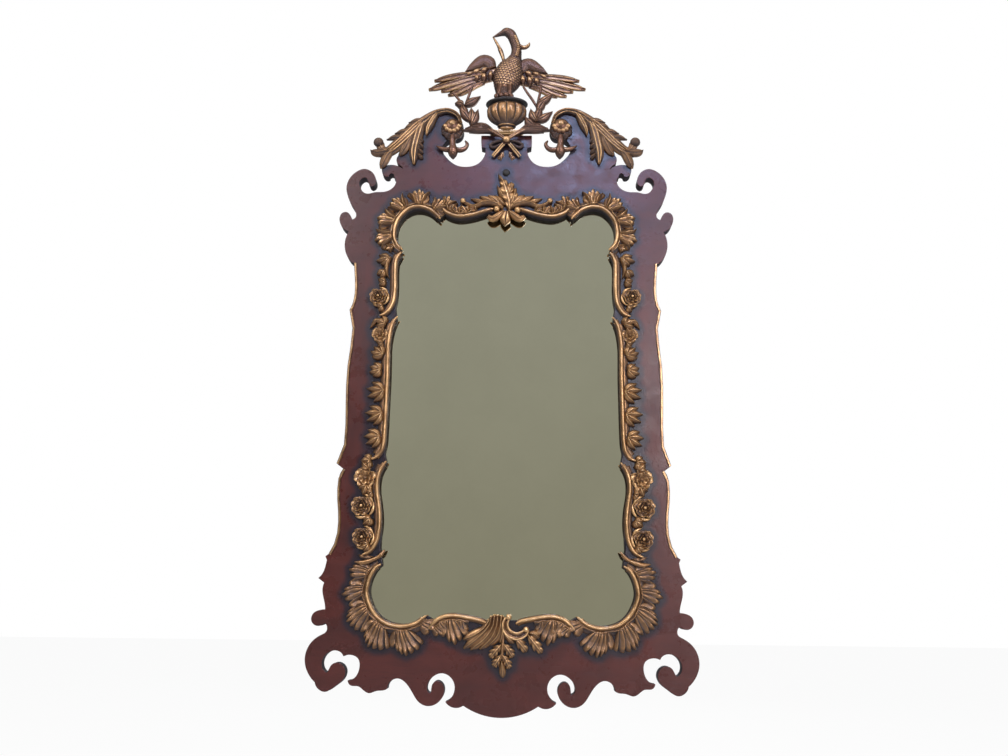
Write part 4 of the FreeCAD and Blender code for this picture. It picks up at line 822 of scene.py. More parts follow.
def give_solid(tree, geometry, taken, given):
    """Ends a tree: real geometry with its material."""
    solid = node(tree, "GeometryNodeRealizeInstances", {0: geometry})
    done = node(tree, "GeometryNodeSetMaterial", {"Geometry": solid.outputs[0], "Material": taken["Material"]})
    fill(tree, given, {0: done.outputs[0]})
    return tree


def stored(tree, name, kind="FLOAT"):
    """A value that each point carries."""
    return node(tree, "GeometryNodeInputNamedAttribute", {"Name": name}, data_type=kind).outputs[0]


def bead_tree():
    """Round bead along a line of points, as thick as each point says."""
    tree, taken, given = new_tree(
        "bead_along_line", "GeometryNodeTree",
        (("Line", "Geometry", None), ("Corners", "Int", BEAD_CORNERS), ("Material", "Material", None)),
        (("Bead", "Geometry"),),
    )
    line = node(tree, "GeometryNodeMeshToCurve", {"Mesh": taken["Line"]})
    section = node(tree, "GeometryNodeCurvePrimitiveCircle", {"Resolution": taken["Corners"], "Radius": 1.0})
    bead = node(tree, "GeometryNodeCurveToMesh", {
        "Curve": line.outputs[0], "Profile Curve": section.outputs[0], "Scale": stored(tree, "radius_here"),
        "Fill Caps": True,
    })
    return give_solid(tree, bead.outputs[0], taken, given)


def fan_tree():
    """One fan at each point, turned and sized as the point says, with a little chance in its size."""
    tree, taken, given = new_tree(
        "fans_on_points", "GeometryNodeTree",
        (("Points", "Geometry", None), ("Fan", "Object", None), ("Variation", "Float", 0.1), ("Seed", "Int", 7),
         ("Material", "Material", None)),
        (("Fans", "Geometry"),),
    )
    fan = node(tree, "GeometryNodeObjectInfo", {"Object": taken["Fan"]})
    around = node(tree, "ShaderNodeCombineXYZ", {"Y": stored(tree, "turn")})
    rotation = node(tree, "FunctionNodeEulerToRotation", {"Euler": around.outputs[0]})
    chance = node(tree, "FunctionNodeRandomValue", {
        2: math_node(tree, "SUBTRACT", 1.0, taken["Variation"]), 3: math_node(tree, "ADD", 1.0, taken["Variation"]),
        "Seed": taken["Seed"],
    }, data_type="FLOAT")
    measure = stored(tree, "measure", "FLOAT_VECTOR")
    placed = node(tree, "GeometryNodeInstanceOnPoints", {
        "Points": taken["Points"], "Instance": fan.outputs["Geometry"], "Rotation": rotation.outputs[0],
        "Scale": vector_node(tree, "SCALE", {0: measure, "Scale": chance.outputs[1]}),
    })
    return give_solid(tree, placed.outputs[0], taken, given)


TREE_MAKERS = {"bead": bead_tree, "fans": fan_tree}
TREES = {}


def run_tree(name, points, edges, values, inputs):
    """Runs a tree on points that carry values and returns the plain mesh."""
    if name not in TREES:
        TREES[name] = TREE_MAKERS[name]()
    mesh = bpy.data.meshes.new("points")
    mesh.from_pydata([tuple(point) for point in points], edges, [])
    for label, (kind, field, numbers) in values.items():
        layer = mesh.attributes.new(label, kind, "POINT")
        layer.data.foreach_set(field, np.asarray(numbers, np.float32).ravel())
    carrier = add_object("points", mesh)
    modifier = carrier.modifiers.new("tree", "NODES")
    modifier.node_group = TREES[name]
    inputs = {"Material": finish("gilding"), **inputs}
    for item in modifier.node_group.interface.items_tree:
        if item.in_out == "INPUT" and item.name in inputs:
            modifier[item.identifier] = inputs[item.name]
    graph = bpy.context.evaluated_depsgraph_get()
    made = bpy.data.meshes.new_from_object(carrier.evaluated_get(graph))
    carrier.modifiers.clear()
    bpy.data.objects.remove(carrier)
    return made


def bead_mesh(path, radii, corners=BEAD_CORNERS):
    """Plain mesh of a bead along a path given in squares, with radii in metres."""
    edges = [(index, index + 1) for index in range(len(path) - 1)]
    values = {"radius_here": ("FLOAT", "value", radii)}
    return run_tree("bead", to_world(path), edges, values, {"Corners": corners})


def shell_object(ends, notch):
    """A shell leaf that ruffles repeat: one metre long and wide, flat behind."""
    carving = Carving()
    carving.shell(ends, notch)
    mesh = bpy.data.meshes.new("fan")
    column, row, proud = np.concatenate(carving.points).T
    mesh.from_pydata(np.stack([column, -proud, row], 1).tolist(), [], carving.faces)
    return add_object("fan", mesh)


# Border rails: the places that each rail on the right passes

RAILS = {
    "bottom_rail": [(2.3, 14.3), (3.4, 14.75), (5.0, 15.1), (8.0, 15.5), (10.0, 15.1), (11.2, 14.2), (11.9, 13.4)],
    "bottom_scroll": [(12.3, 15.5), (14.2, 14.15), (16.6, 13.7), (19.2, 14.3), (21.2, 16.0), (22.4, 18.6),
                      (22.3, 20.8), (21.4, 22.8), (20.2, 23.8)],
    "lower_rail": [(23.6, 25.2), (22.6, 25.6), (21.7, 26.5), (21.1, 28.2), (20.9, 30.5), (21.1, 33.0), (21.6, 35.8),
                   (21.6, 38.0), (21.1, 39.7), (20.2, 41.1)],
    "middle_rail": [(23.1, 41.4), (22.2, 41.6), (21.4, 42.4), (20.9, 44.0), (20.8, 47.0), (20.8, 52.0), (20.8, 56.0),
                    (20.9, 60.0), (20.9, 62.5), (20.6, 65.0), (20.1, 66.6), (19.4, 67.6)],
    "upper_rail": [(22.8, 67.7), (22.0, 67.9), (21.1, 68.7), (20.4, 70.3), (20.2, 73.0), (20.3, 76.0), (20.3, 78.0),
                   (19.9, 79.3), (19.3, 80.2)],
    "top_scroll": [(19.1, 80.5), (20.2, 81.6), (20.8, 83.3), (20.7, 85.6), (19.8, 87.6), (18.2, 89.1), (16.3, 89.5),
                   (14.5, 89.0), (13.2, 88.0), (12.2, 86.9)],
    "top_rail": [(12.2, 89.6), (11.2, 88.4), (9.8, 87.7), (8.3, 87.5), (6.0, 87.9), (3.6, 88.7), (2.2, 89.1)],
}
RAIL_STATIONS = 90
RAIL_SHADE = 0.09
# Ends of a rail: share of the radius there, share of the length that tapers, and the smallest share of all
END_SHARE = 0.55
TAPER_SHARE = 0.14
TIP_SHARE = 0.06
# Beads of a rail: shift towards the glass and height in squares, share of the radius, stations left off at the ends
RAIL_BEADS = ((0.05, 0.42, 1.0, 0), (-0.20, 0.18, 0.8, 3), (0.28, 0.08, 0.55, 4))
# Stretches of a rail that ruffles and trails follow
RAIL_SAMPLES = 400
STRETCH_PLACES = 24
# Low band beside a rail: where it starts, its heights outwards and its shade
GROUND_START = 0.30
GROUND_LIFT = (0.42, 0.46, 0.40, 0.32, 0.22, 0.08)
GROUND_SHADE = 0.45


def rail_radii(path, radius):
    """Radius along a rail: even in the middle, tapered to rounded ends."""
    walked = walked_along(path) * SQUARE
    from_end = np.minimum(walked, walked[-1] - walked)
    body = radius * np.clip(END_SHARE + (1 - END_SHARE) * from_end / (TAPER_SHARE * walked[-1]), 0, 1)
    inside = np.clip(1 - from_end / (radius * END_SHARE), 0, 1)
    return np.maximum(body * np.sqrt(1 - inside ** 2), radius * TIP_SHARE)


def rail_stretch(rail, start, end, count):
    """A stretch of a rail with its directions away from the glass."""
    last = RAIL_SAMPLES - 1
    path = smooth_path(RAILS[rail], RAIL_SAMPLES)[int(start * last):int(end * last) + 1]
    path = smooth_path(path[::max(len(path) // STRETCH_PLACES, 1)], count)
    return path, -headings(path)[1]


def rail_ground(path, outward, wide):
    """Low band beside a rail, under what grows from it."""
    reach = np.linspace(GROUND_START, wide, len(GROUND_LIFT))
    flat = path[:, None, :2] + outward[:, None] * reach[None, :, None]
    return np.dstack([flat, np.broadcast_to(GROUND_LIFT, flat.shape[:2])])


class MIRROR_OT_rails(bpy.types.Operator):
    """Gilt rails round the glass, each a bead with tapered ends, a flank and an inner fillet"""

    bl_idname = "mirror.rails"
    bl_label = "Border rails"

    def execute(self, context):
        radius = context.scene.carved_mirror.rail_radius
        for name, places in RAILS.items():
            path = smooth_path(places, RAIL_STATIONS)
            carving = Carving(RAIL_SHADE)
            for shift, proud, share, ends in RAIL_BEADS:
                line = beside(path, shift, proud)[ends:RAIL_STATIONS - ends]
                radii = np.full(len(line), radius * share) if ends else rail_radii(line, radius)
                carving.take(bead_mesh(line, radii))
            carve_pair(carving, name)
        return {"FINISHED"}


# Ruffles: the rail they follow, their stretch of it, accents on each fan, and fans given as
# (share along the stretch, lean in degrees, length, width and relief in squares)
RUFFLES = {
    "bottom_ruffle": ("bottom_rail", 0.30, 0.97, 0, (
        (0.93, -6, 1.9, 2.2, 0.7), (0.74, 6, 2.6, 3.0, 0.8), (0.20, 4, 2.0, 2.4, 0.6), (0.47, 0, 4.0, 4.6, 0.95),
    )),
    "bottom_corner_ruffle": ("bottom_scroll", 0.02, 0.98, 0, (
        (0.06, 18, 2.4, 3.2, 0.7), (0.24, 8, 4.1, 5.4, 0.95), (0.43, 2, 4.3, 5.8, 0.95), (0.60, 2, 3.9, 5.0, 0.9),
        (0.75, 8, 3.6, 4.4, 0.9), (0.89, 8, 3.5, 4.4, 0.95),
    )),
    "top_corner_ruffle": ("top_scroll", 0.02, 0.98, 2, (
        (0.10, 0, 1.9, 1.5, 0.6), (0.21, 6, 3.3, 4.2, 0.95), (0.38, 2, 3.2, 4.3, 0.95), (0.55, 0, 3.2, 4.3, 0.95),
        (0.72, -2, 3.1, 4.2, 0.95), (0.89, -8, 2.7, 3.4, 0.9),
    )),
    "top_ruffle": ("top_rail", 0.02, 0.72, 2, (
        (0.06, 24, 2.4, 2.4, 0.8), (0.27, 20, 2.1, 2.5, 0.8), (0.50, 18, 1.9, 2.5, 0.75), (0.74, 14, 1.8, 2.5, 0.7),
        (0.95, 10, 1.6, 2.2, 0.65),
    )),
}
# Lengths of a shell leaf's flutes: each leaf takes the row that suits its width
SHELL_ENDS = {
    3: (0.78, 1.0, 0.82), 5: (0.66, 0.88, 1.0, 0.86, 0.70), 7: (0.62, 0.80, 0.93, 1.0, 0.94, 0.84, 0.66),
}
FLUTE_WIDE = 0.80
# Accent leaflets: shift in widths, turn in degrees, length share and curl in degrees
ACCENTS = ((-0.10, 12, 0.93, 16), (0.16, -16, 0.80, -22))
ACCENT_STEPS = (0.4, 0.75, 1.0)
ACCENT_ROOT = 0.5
ACCENT_HALF, ACCENT_WIDEST, ACCENT_RELIEF = 0.15, 0.5, 1.12
ACCENT_SHADE = -0.14
FAN_ROOT = 0.40
FAN_STATIONS = 200
FAN_VARIATION = 0.05
FIRST_SEED = 3
RUFFLE_STATIONS = 120
RUFFLE_GROUND = 1.3
# How much darker the ruffles are than the rails, below and above
RUFFLE_SHADES = {"bottom": 0.26, "top": 0.0}
# How deep the ends of the flutes are cut, below and above
RUFFLE_NOTCHES = {"bottom": 0.20, "top": 0.26}
# Wavy lip: its middle and wave outwards, and in height
LIP_OUT, LIP_OUT_WAVE, LIP_HIGH, LIP_HIGH_WAVE = 0.56, 0.07, 0.62, 0.08
# Each end of the lip tapers over one of so many parts, to this share of its radius
LIP_PARTS, LIP_TIP = 12, 0.2
LIP_CORNERS = 8


class MIRROR_OT_ruffles(bpy.types.Operator):
    """Ruffles of fluted fans that open outwards from the rails, with a wavy lip"""

    bl_idname = "mirror.ruffles"
    bl_label = "Ruffles"

    def execute(self, context):
        lip_radius = context.scene.carved_mirror.lip_radius
        for seed, (name, (rail, start, end, accents, fans)) in enumerate(RUFFLES.items(), FIRST_SEED):
            level = name.split("_")[0]
            shade = RUFFLE_SHADES[level]
            carving = Carving(shade)
            for flutes, ends in SHELL_ENDS.items():
                chosen = [fan for fan in fans if self.flutes(fan[3]) == flutes]
                if chosen:
                    shell = shell_object(ends, RUFFLE_NOTCHES[level])
                    carving.take(self.fans(shell, *rail_stretch(rail, start, end, FAN_STATIONS), chosen, seed))
                    bpy.data.objects.remove(shell)
            path, outward = rail_stretch(rail, start, end, RUFFLE_STATIONS)
            carving.shade = shade + ACCENT_SHADE
            for fan in fans:
                self.accents(carving, path, outward, fan, accents)
            carving.shade = shade
            carving.take(self.lip(path, len(fans), lip_radius))
            carving.shade = GROUND_SHADE
            carving.slab(rail_ground(path, outward, RUFFLE_GROUND))
            if name == "bottom_corner_ruffle":
                carving.shade = shade
                self.prong(carving)
            carve_pair(carving, name)
        return {"FINISHED"}

    @staticmethod
    def flutes(width):
        """How many flutes suit a fan's width."""
        return min(SHELL_ENDS, key=lambda count: abs(count - width / FLUTE_WIDE))

    @staticmethod
    def fans(shell, path, outward, chosen, seed):
        """The fans that repeat one shell leaf."""
        points, turns, measures = [], [], []
        for share, lean, length, width, relief in chosen:
            index = int(share * (FAN_STATIONS - 1))
            points.append(path[index] + np.append(outward[index] * FAN_ROOT, 0.0))
            turns.append(math.atan2(*outward[index]) + math.radians(lean))
            measures.append((width * SQUARE, relief * SQUARE, length * SQUARE))
        values = {"turn": ("FLOAT", "value", turns), "measure": ("FLOAT_VECTOR", "vector", measures)}
        inputs = {"Fan": shell, "Variation": FAN_VARIATION, "Seed": seed}
        return run_tree("fans", to_world(points), [], values, inputs)

    @staticmethod
    def accents(carving, path, outward, fan, count):
        """Curled leaflets that lie on a shell leaf."""
        share, lean, length, width, relief = fan
        index = int(share * (RUFFLE_STATIONS - 1))
        facing = math.degrees(math.atan2(outward[index][1], outward[index][0])) - lean
        for shift, turn, size, curl in ACCENTS[:count]:
            root = polar(path[index, :2] + outward[index] * ACCENT_ROOT, shift * width, facing - 90)
            places = [root]
            for step in ACCENT_STEPS:
                places.append(polar(root, step * size * length, facing + turn + curl * step * step))
            half = min(ACCENT_WIDEST, ACCENT_HALF * width)
            carving.leaf(places, half, ACCENT_RELIEF * relief, shape=FINGER_SHAPE, crown=0.6, lean=0.3)

    @staticmethod
    def lip(path, waves, radius):
        """Wavy lip between the rail and the fans."""
        wave = np.sin(np.linspace(0, 2 * math.pi * waves, RUFFLE_STATIONS))
        edge = beside(path, -(LIP_OUT + LIP_OUT_WAVE * wave), LIP_HIGH + LIP_HIGH_WAVE * wave)
        from_start = np.linspace(0, LIP_PARTS, RUFFLE_STATIONS)
        taper = np.clip(np.minimum(from_start, from_start[::-1]), LIP_TIP, 1)
        return bead_mesh(edge, radius * taper, LIP_CORNERS)

    @staticmethod
    def prong(carving):
        """Short leaf scroll between the lower rail and the corner scroll."""
        places = ((19.7, 26.0, 0.4), (20.5, 25.0, 0.5), (21.8, 24.3, 0.5), (23.2, 23.9, 0.45), (24.7, 24.0, 0.3))
        carving.strand(places, (0.5, 1.2, 1.0, 1.2, 1.5, 1.2, 0.3), 50, 12, thick=0.3)
        carving.leaf(((21.6, 24.9), (22.8, 24.7), (24.2, 25.2)), 0.5, 0.6, lobes=2)


# Flower trails

# Roses and flowers: place and radius
TRAIL_ROSES = (((23.1, 71.3), 1.45), ((24.0, 33.3), 1.6), ((23.6, 28.1), 1.5))
TRAIL_FLOWERS = (((22.5, 64.0), 1.3), ((23.7, 38.1), 1.7))
# Leaf hands: root, heading in degrees from the right, reach, leaflets and opening
TRAIL_HANDS = (
    ((21.4, 78.9), -14, 2.5, 3, 55), ((22.2, 76.4), -48, 2.0, 2, 34), ((21.9, 74.3), -12, 1.8, 2, 44),
    ((22.2, 69.5), -25, 1.6, 2, 60), ((21.6, 66.0), 30, 2.1, 3, 80), ((21.8, 62.4), -20, 1.5, 2, 50),
    ((21.7, 60.2), 28, 2.5, 4, 78), ((21.9, 57.4), 0, 2.3, 4, 84), ((21.2, 53.6), -8, 3.3, 4, 84),
    ((21.3, 49.5), -14, 3.2, 4, 84), ((21.5, 45.4), -16, 3.0, 4, 84), ((22.9, 41.2), -5, 1.7, 3, 80),
    ((23.2, 39.7), 45, 1.7, 3, 80), ((23.3, 36.8), -70, 1.8, 3, 90), ((22.3, 35.6), -20, 1.4, 2, 60),
    ((22.3, 31.2), -38, 1.7, 3, 64), ((22.4, 26.9), -20, 1.7, 3, 70),
)
TRAIL_LEAVES = (
    (((21.2, 79.1), (21.9, 77.4), (21.8, 75.9), (21.3, 74.8)), 0.42, 0.85),
    (((21.5, 65.8), (22.4, 66.3), (23.3, 66.6), (24.3, 65.2)), 0.5, 0.8),
)
# Ground beside the rails: width and shade
TRAIL_GROUNDS = {"lower_rail": (0.95, 0.45), "middle_rail": (1.15, 0.34), "upper_rail": (0.95, 0.45)}
TRAIL_STRETCH = (0.06, 0.94)
TRAIL_SHADE = -0.14


class MIRROR_OT_trails(bpy.types.Operator):
    """Roses, flowers and leaves down both stiles"""

    bl_idname = "mirror.trails"
    bl_label = "Flower trails"

    def execute(self, context):
        carving = Carving()
        for rail, (wide, shade) in TRAIL_GROUNDS.items():
            carving.shade = shade
            carving.slab(rail_ground(*rail_stretch(rail, *TRAIL_STRETCH, RUFFLE_STATIONS), wide))
        carving.shade = TRAIL_SHADE
        for hand in TRAIL_HANDS:
            carving.fingers(*hand)
        carving.leaves(TRAIL_LEAVES, shape=FINGER_SHAPE)
        for place, radius in TRAIL_ROSES:
            carving.rose(place, radius)
        for place, radius in TRAIL_FLOWERS:
            carving.flower(place, radius)
        carve_pair(carving, "flower_trail")
        return {"FINISHED"}


# Acanthus: leaves as their places, half width and relief

# Top leaf, each side, and how far its middle lies off the axis
TOP_SHIFT = 0.1
TOP_SIDE_LEAVES = (
    (((1.0, 89.6), (2.2, 90.9), (3.5, 91.8)), 0.72, 0.75), (((2.2, 89.9), (3.6, 90.9), (5.1, 91.6)), 0.6, 0.72),
    (((3.6, 89.9), (5.2, 90.6), (6.7, 91.1)), 0.5, 0.7),
)
TOP_STRAND = ((0.6, 89.2), (2.4, 90.2), (4.4, 90.2), (6.2, 89.5), (8.2, 90.5))
TOP_LOBE = ((0.4, 88.6), (1.5, 87.6), (2.5, 87.0), (3.4, 87.5))
TOP_UPPER_LEAVES = (
    (((-0.2, 89.8), (-1.2, 90.8), (-2.0, 91.8)), 0.6, 0.75), (((0.2, 90.5), (-0.9, 92.2), (-1.7, 93.9)), 0.55, 0.8),
)
# The top leaf's shade, and the ball over its tip painted near black as the shadow under the curled tip
TOP_SHADE, CURLED_TIP_SHADOW = -0.08, 1.2
# Sheath leaves and hanging leaves of the bottom one, these with their half width and lobes
SHEATH_LEAVES = (
    ((-2.0, 15.0), (-3.0, 13.6), (-4.6, 12.5), (-6.2, 11.9)),
    ((-1.6, 15.6), (-2.2, 13.9), (-3.9, 12.1), (-6.1, 10.5)),
    ((-1.1, 15.8), (-1.5, 13.8), (-2.9, 11.9), (-5.0, 10.3)),
    ((-0.6, 15.8), (-0.9, 13.8), (-1.8, 12.0), (-3.5, 10.4)),
    ((0.0, 15.7), (-0.2, 13.9), (-0.8, 12.3), (-2.2, 10.9)),
    ((0.5, 15.4), (0.3, 14.0), (0.1, 12.6), (-0.2, 11.4)),
)
SHEATH_SHAPE = (0.4, 0.48, 0.66, 1.0, 1.05, 0.8, 0.2)
HANGING_LEAVES = (
    (((0.0, 11.2), (-0.7, 10.4), (-1.8, 9.1)), 0.85, 3), (((0.3, 11.3), (1.0, 10.5), (1.9, 9.2)), 0.85, 3),
    (((0.0, 9.6), (-0.5, 8.8), (-1.2, 7.7)), 0.8, 3), (((0.2, 9.6), (0.8, 8.7), (1.4, 7.5)), 0.8, 3),
    (((0.1, 8.6), (0.2, 7.6), (0.3, 6.1)), 0.55, 0), (((0.5, 12.7), (1.2, 12.1), (2.1, 11.4)), 0.5, 0),
    (((2.2, 12.2), (3.0, 11.4), (4.1, 10.1)), 0.85, 2), (((4.2, 12.8), (5.3, 11.5), (6.6, 9.9)), 0.9, 3),
    (((4.4, 13.0), (5.2, 12.9), (6.2, 12.3)), 0.55, 0),
)
STALK_SHADE = 0.4
SCROLL_STATIONS = 60
BOTTOM_SCROLL = ((1.2, 15.4), (0.65, 14.6), (0.7, 13.6), (1.4, 12.8), (2.6, 12.45), (3.7, 12.9), (4.1, 13.6))


class MIRROR_OT_acanthus(bpy.types.Operator):
    """Acanthus leaves over the middle of the top and bottom rails"""

    bl_idname = "mirror.acanthus"
    bl_label = "Acanthus leaves"

    def execute(self, context):
        carve(self.top(), "top_acanthus")
        carve(self.bottom(), "bottom_acanthus")
        return {"FINISHED"}

    @staticmethod
    def top():
        """Upright leaf that leans to the left, side strands with curled tips, buds and hanging lobes."""
        carving = Carving(TOP_SHADE)
        for side in (1, -1):
            def there(places):
                """Places on this side of the leaf's middle."""
                return [(side * column + TOP_SHIFT, row) for column, row in places]

            carving.leaves([(there(places), *sizes) for places, *sizes in TOP_SIDE_LEAVES], shape=FINGER_SHAPE)
            carving.leaf(there(TOP_STRAND), 0.62, 0.9, shape=(0.6, 1.0, 0.95, 0.8, 0.7, 0.5), crown=0.55, lean=0.0)
            carving.ball((side * 8.2 + TOP_SHIFT, 90.6, 0.45), 0.55)
            carving.leaf(there(TOP_LOBE), 0.66, 0.8, shape=(0.7, 1.0, 1.0, 0.9, 0.5))
        carving.leaf(((0.9, 89.6), (1.5, 91.2), (1.9, 93.4)), 0.8, 0.85, lobes=3, depth=0.4, ripple=0.3)
        carving.leaves(TOP_UPPER_LEAVES, shape=FINGER_SHAPE)
        tuft = ((0.4, 91.6), (0.9, 93.0), (1.0, 94.5))
        carving.leaf(tuft, 0.8, 0.95, lobes=2, depth=0.4, ripple=0.3, shape=PETAL_SHAPE)
        upright = ((0.7, 88.4), (0.6, 90.4), (0.1, 92.4), (-0.5, 94.4), (-1.5, 96.2))
        carving.leaf(upright, 1.35, 1.0, lobes=5, depth=0.42, ripple=0.35)
        drop = ((0.2, 88.5), (0.0, 87.2), (-0.2, 85.5))
        carving.leaf(drop, 1.0, 1.05, shape=(0.5, 0.8, 1.0, 0.55, 0.03), rib=0.4)
        for place in ((-1.7, 88.9, 0.5), (2.2, 88.7, 0.5)):
            carving.ball(place, 0.62, 0.9)
        # The ball over the leaf's tip is painted near black as the shadow under the curled tip
        carving.shade = CURLED_TIP_SHADOW
        carving.ball((0.0, 96.75, 0.1), 0.72, 0.5)
        return carving

    @staticmethod
    def bottom():
        """Sheath that opens to the left, a scroll to the right, and hanging leaves."""
        carving = Carving()
        for places in SHEATH_LEAVES:
            carving.leaf(places, 0.74, 0.85, shape=SHEATH_SHAPE, rib=-0.3, crown=0.5, lean=0.2)
        for places, half, lobes in HANGING_LEAVES:
            carving.leaf(places, half, 0.85, lobes=lobes, depth=0.45, ripple=0.35, shape=PETAL_SHAPE)
        carving.shade = STALK_SHADE
        carving.strand(((0.3, 13.0, 0.5), (0.2, 11.0, 0.6), (0.1, 9.0, 0.5)), (0.26,), 20, 8)
        carving.shade = 0.0
        fluted = (0.6, 0.9, 1.0, 1.0, 1.0, 1.0, 1.0, 0.8)
        carving.leaf(BOTTOM_SCROLL, 0.58, 0.75, shape=fluted, rib=0.3, crown=0.0, lean=0.0)
        for shift in (0.48, -0.48):
            shifts = shift * spread((0.5, 0.9, 1.0, 1.0, 1.0, 0.7), SCROLL_STATIONS)
            line = beside(smooth_path(BOTTOM_SCROLL, SCROLL_STATIONS), shifts, 0.85)
            carving.tube(line, 0.17 * spread((0.6, 1.0, 1.0, 1.0, 0.6), SCROLL_STATIONS), 8)
        for place in ((1.15, 15.4, 0.75), (4.0, 13.5, 0.7)):
            carving.ball(place, 0.5, 0.8)
        return carving


# Swan necks

SWAN_TEETH = (
    ((16.2, 107.9), (17.8, 107.7), (19.1, 107.4)), ((17.5, 106.7), (18.8, 106.6), (19.9, 106.1)),
    ((18.6, 105.3), (20.2, 105.4), (21.7, 105.0)), ((19.8, 103.9), (21.6, 104.2), (23.2, 103.7)),
)
SWAN_STEM = ((8.8, 107.2), (9.6, 109.0), (11.4, 110.0), (13.4, 109.7), (15.4, 108.5), (17.3, 106.9))
SWAN_MAIN = ((15.0, 108.7), (17.0, 107.0), (19.0, 104.8), (21.0, 102.6), (23.0, 101.0), (25.6, 100.8))
SWAN_SIDE_LEAVES = (
    (((18.2, 105.2), (19.1, 103.0), (19.8, 101.4), (20.5, 100.4)), 0.85, 0.75),
    (((21.4, 102.0), (22.7, 100.5), (23.4, 99.1), (24.0, 97.6)), 0.85, 0.8),
)
SWAN_TIP = ((22.4, 101.2), (24.0, 100.8), (25.3, 100.9), (26.2, 101.3))
SWAN_HANGING = ((16.3, 107.6), (17.0, 105.4), (17.5, 103.0), (17.8, 100.8), (17.7, 98.4))
SWAN_SHORT = ((13.6, 109.4), (14.5, 107.8), (15.2, 106.2), (15.5, 104.6))
SWAN_CURL = ((23.2, 101.2), (23.9, 101.7), (24.4, 102.6), (24.7, 103.4))
FRINGE_ROWS = (103.4, 102.2, 101.0, 99.9)
# Ridges of the swan leaf: the line they follow, their shifts, height and thickness
SWAN_RIDGES = (
    (SWAN_MAIN, (-0.55, 0.0, 0.5), 0.76, 0.17), (SWAN_HANGING, (-0.34, 0.34), 0.88, 0.19),
    (SWAN_STEM, (-0.3, 0.3), 0.66, 0.14), (SWAN_SHORT, (-0.2, 0.2), 0.84, 0.15),
)
RIDGE_STATIONS = 70
TEETH_SHADE, SWAN_SHADE, RIDGE_SHADE, CURL_SHADE, KNOB_SHADE = 0.32, 0.27, 0.14, 0.2, 0.7
# Rosette: the centre of its skirt, the centre of its boss, and the skirt's angles in degrees
SKIRT, BOSS = (10.5, 105.9), (10.5, 106.5)
SKIRT_ANGLES = (185, 222, 260, 300, 340, 15, 150)
SKIRT_SHADE, BOSS_SHADE, BUDS_SHADE, PENDANT_SHADE = 0.3, 0.2, 0.08, 0.28


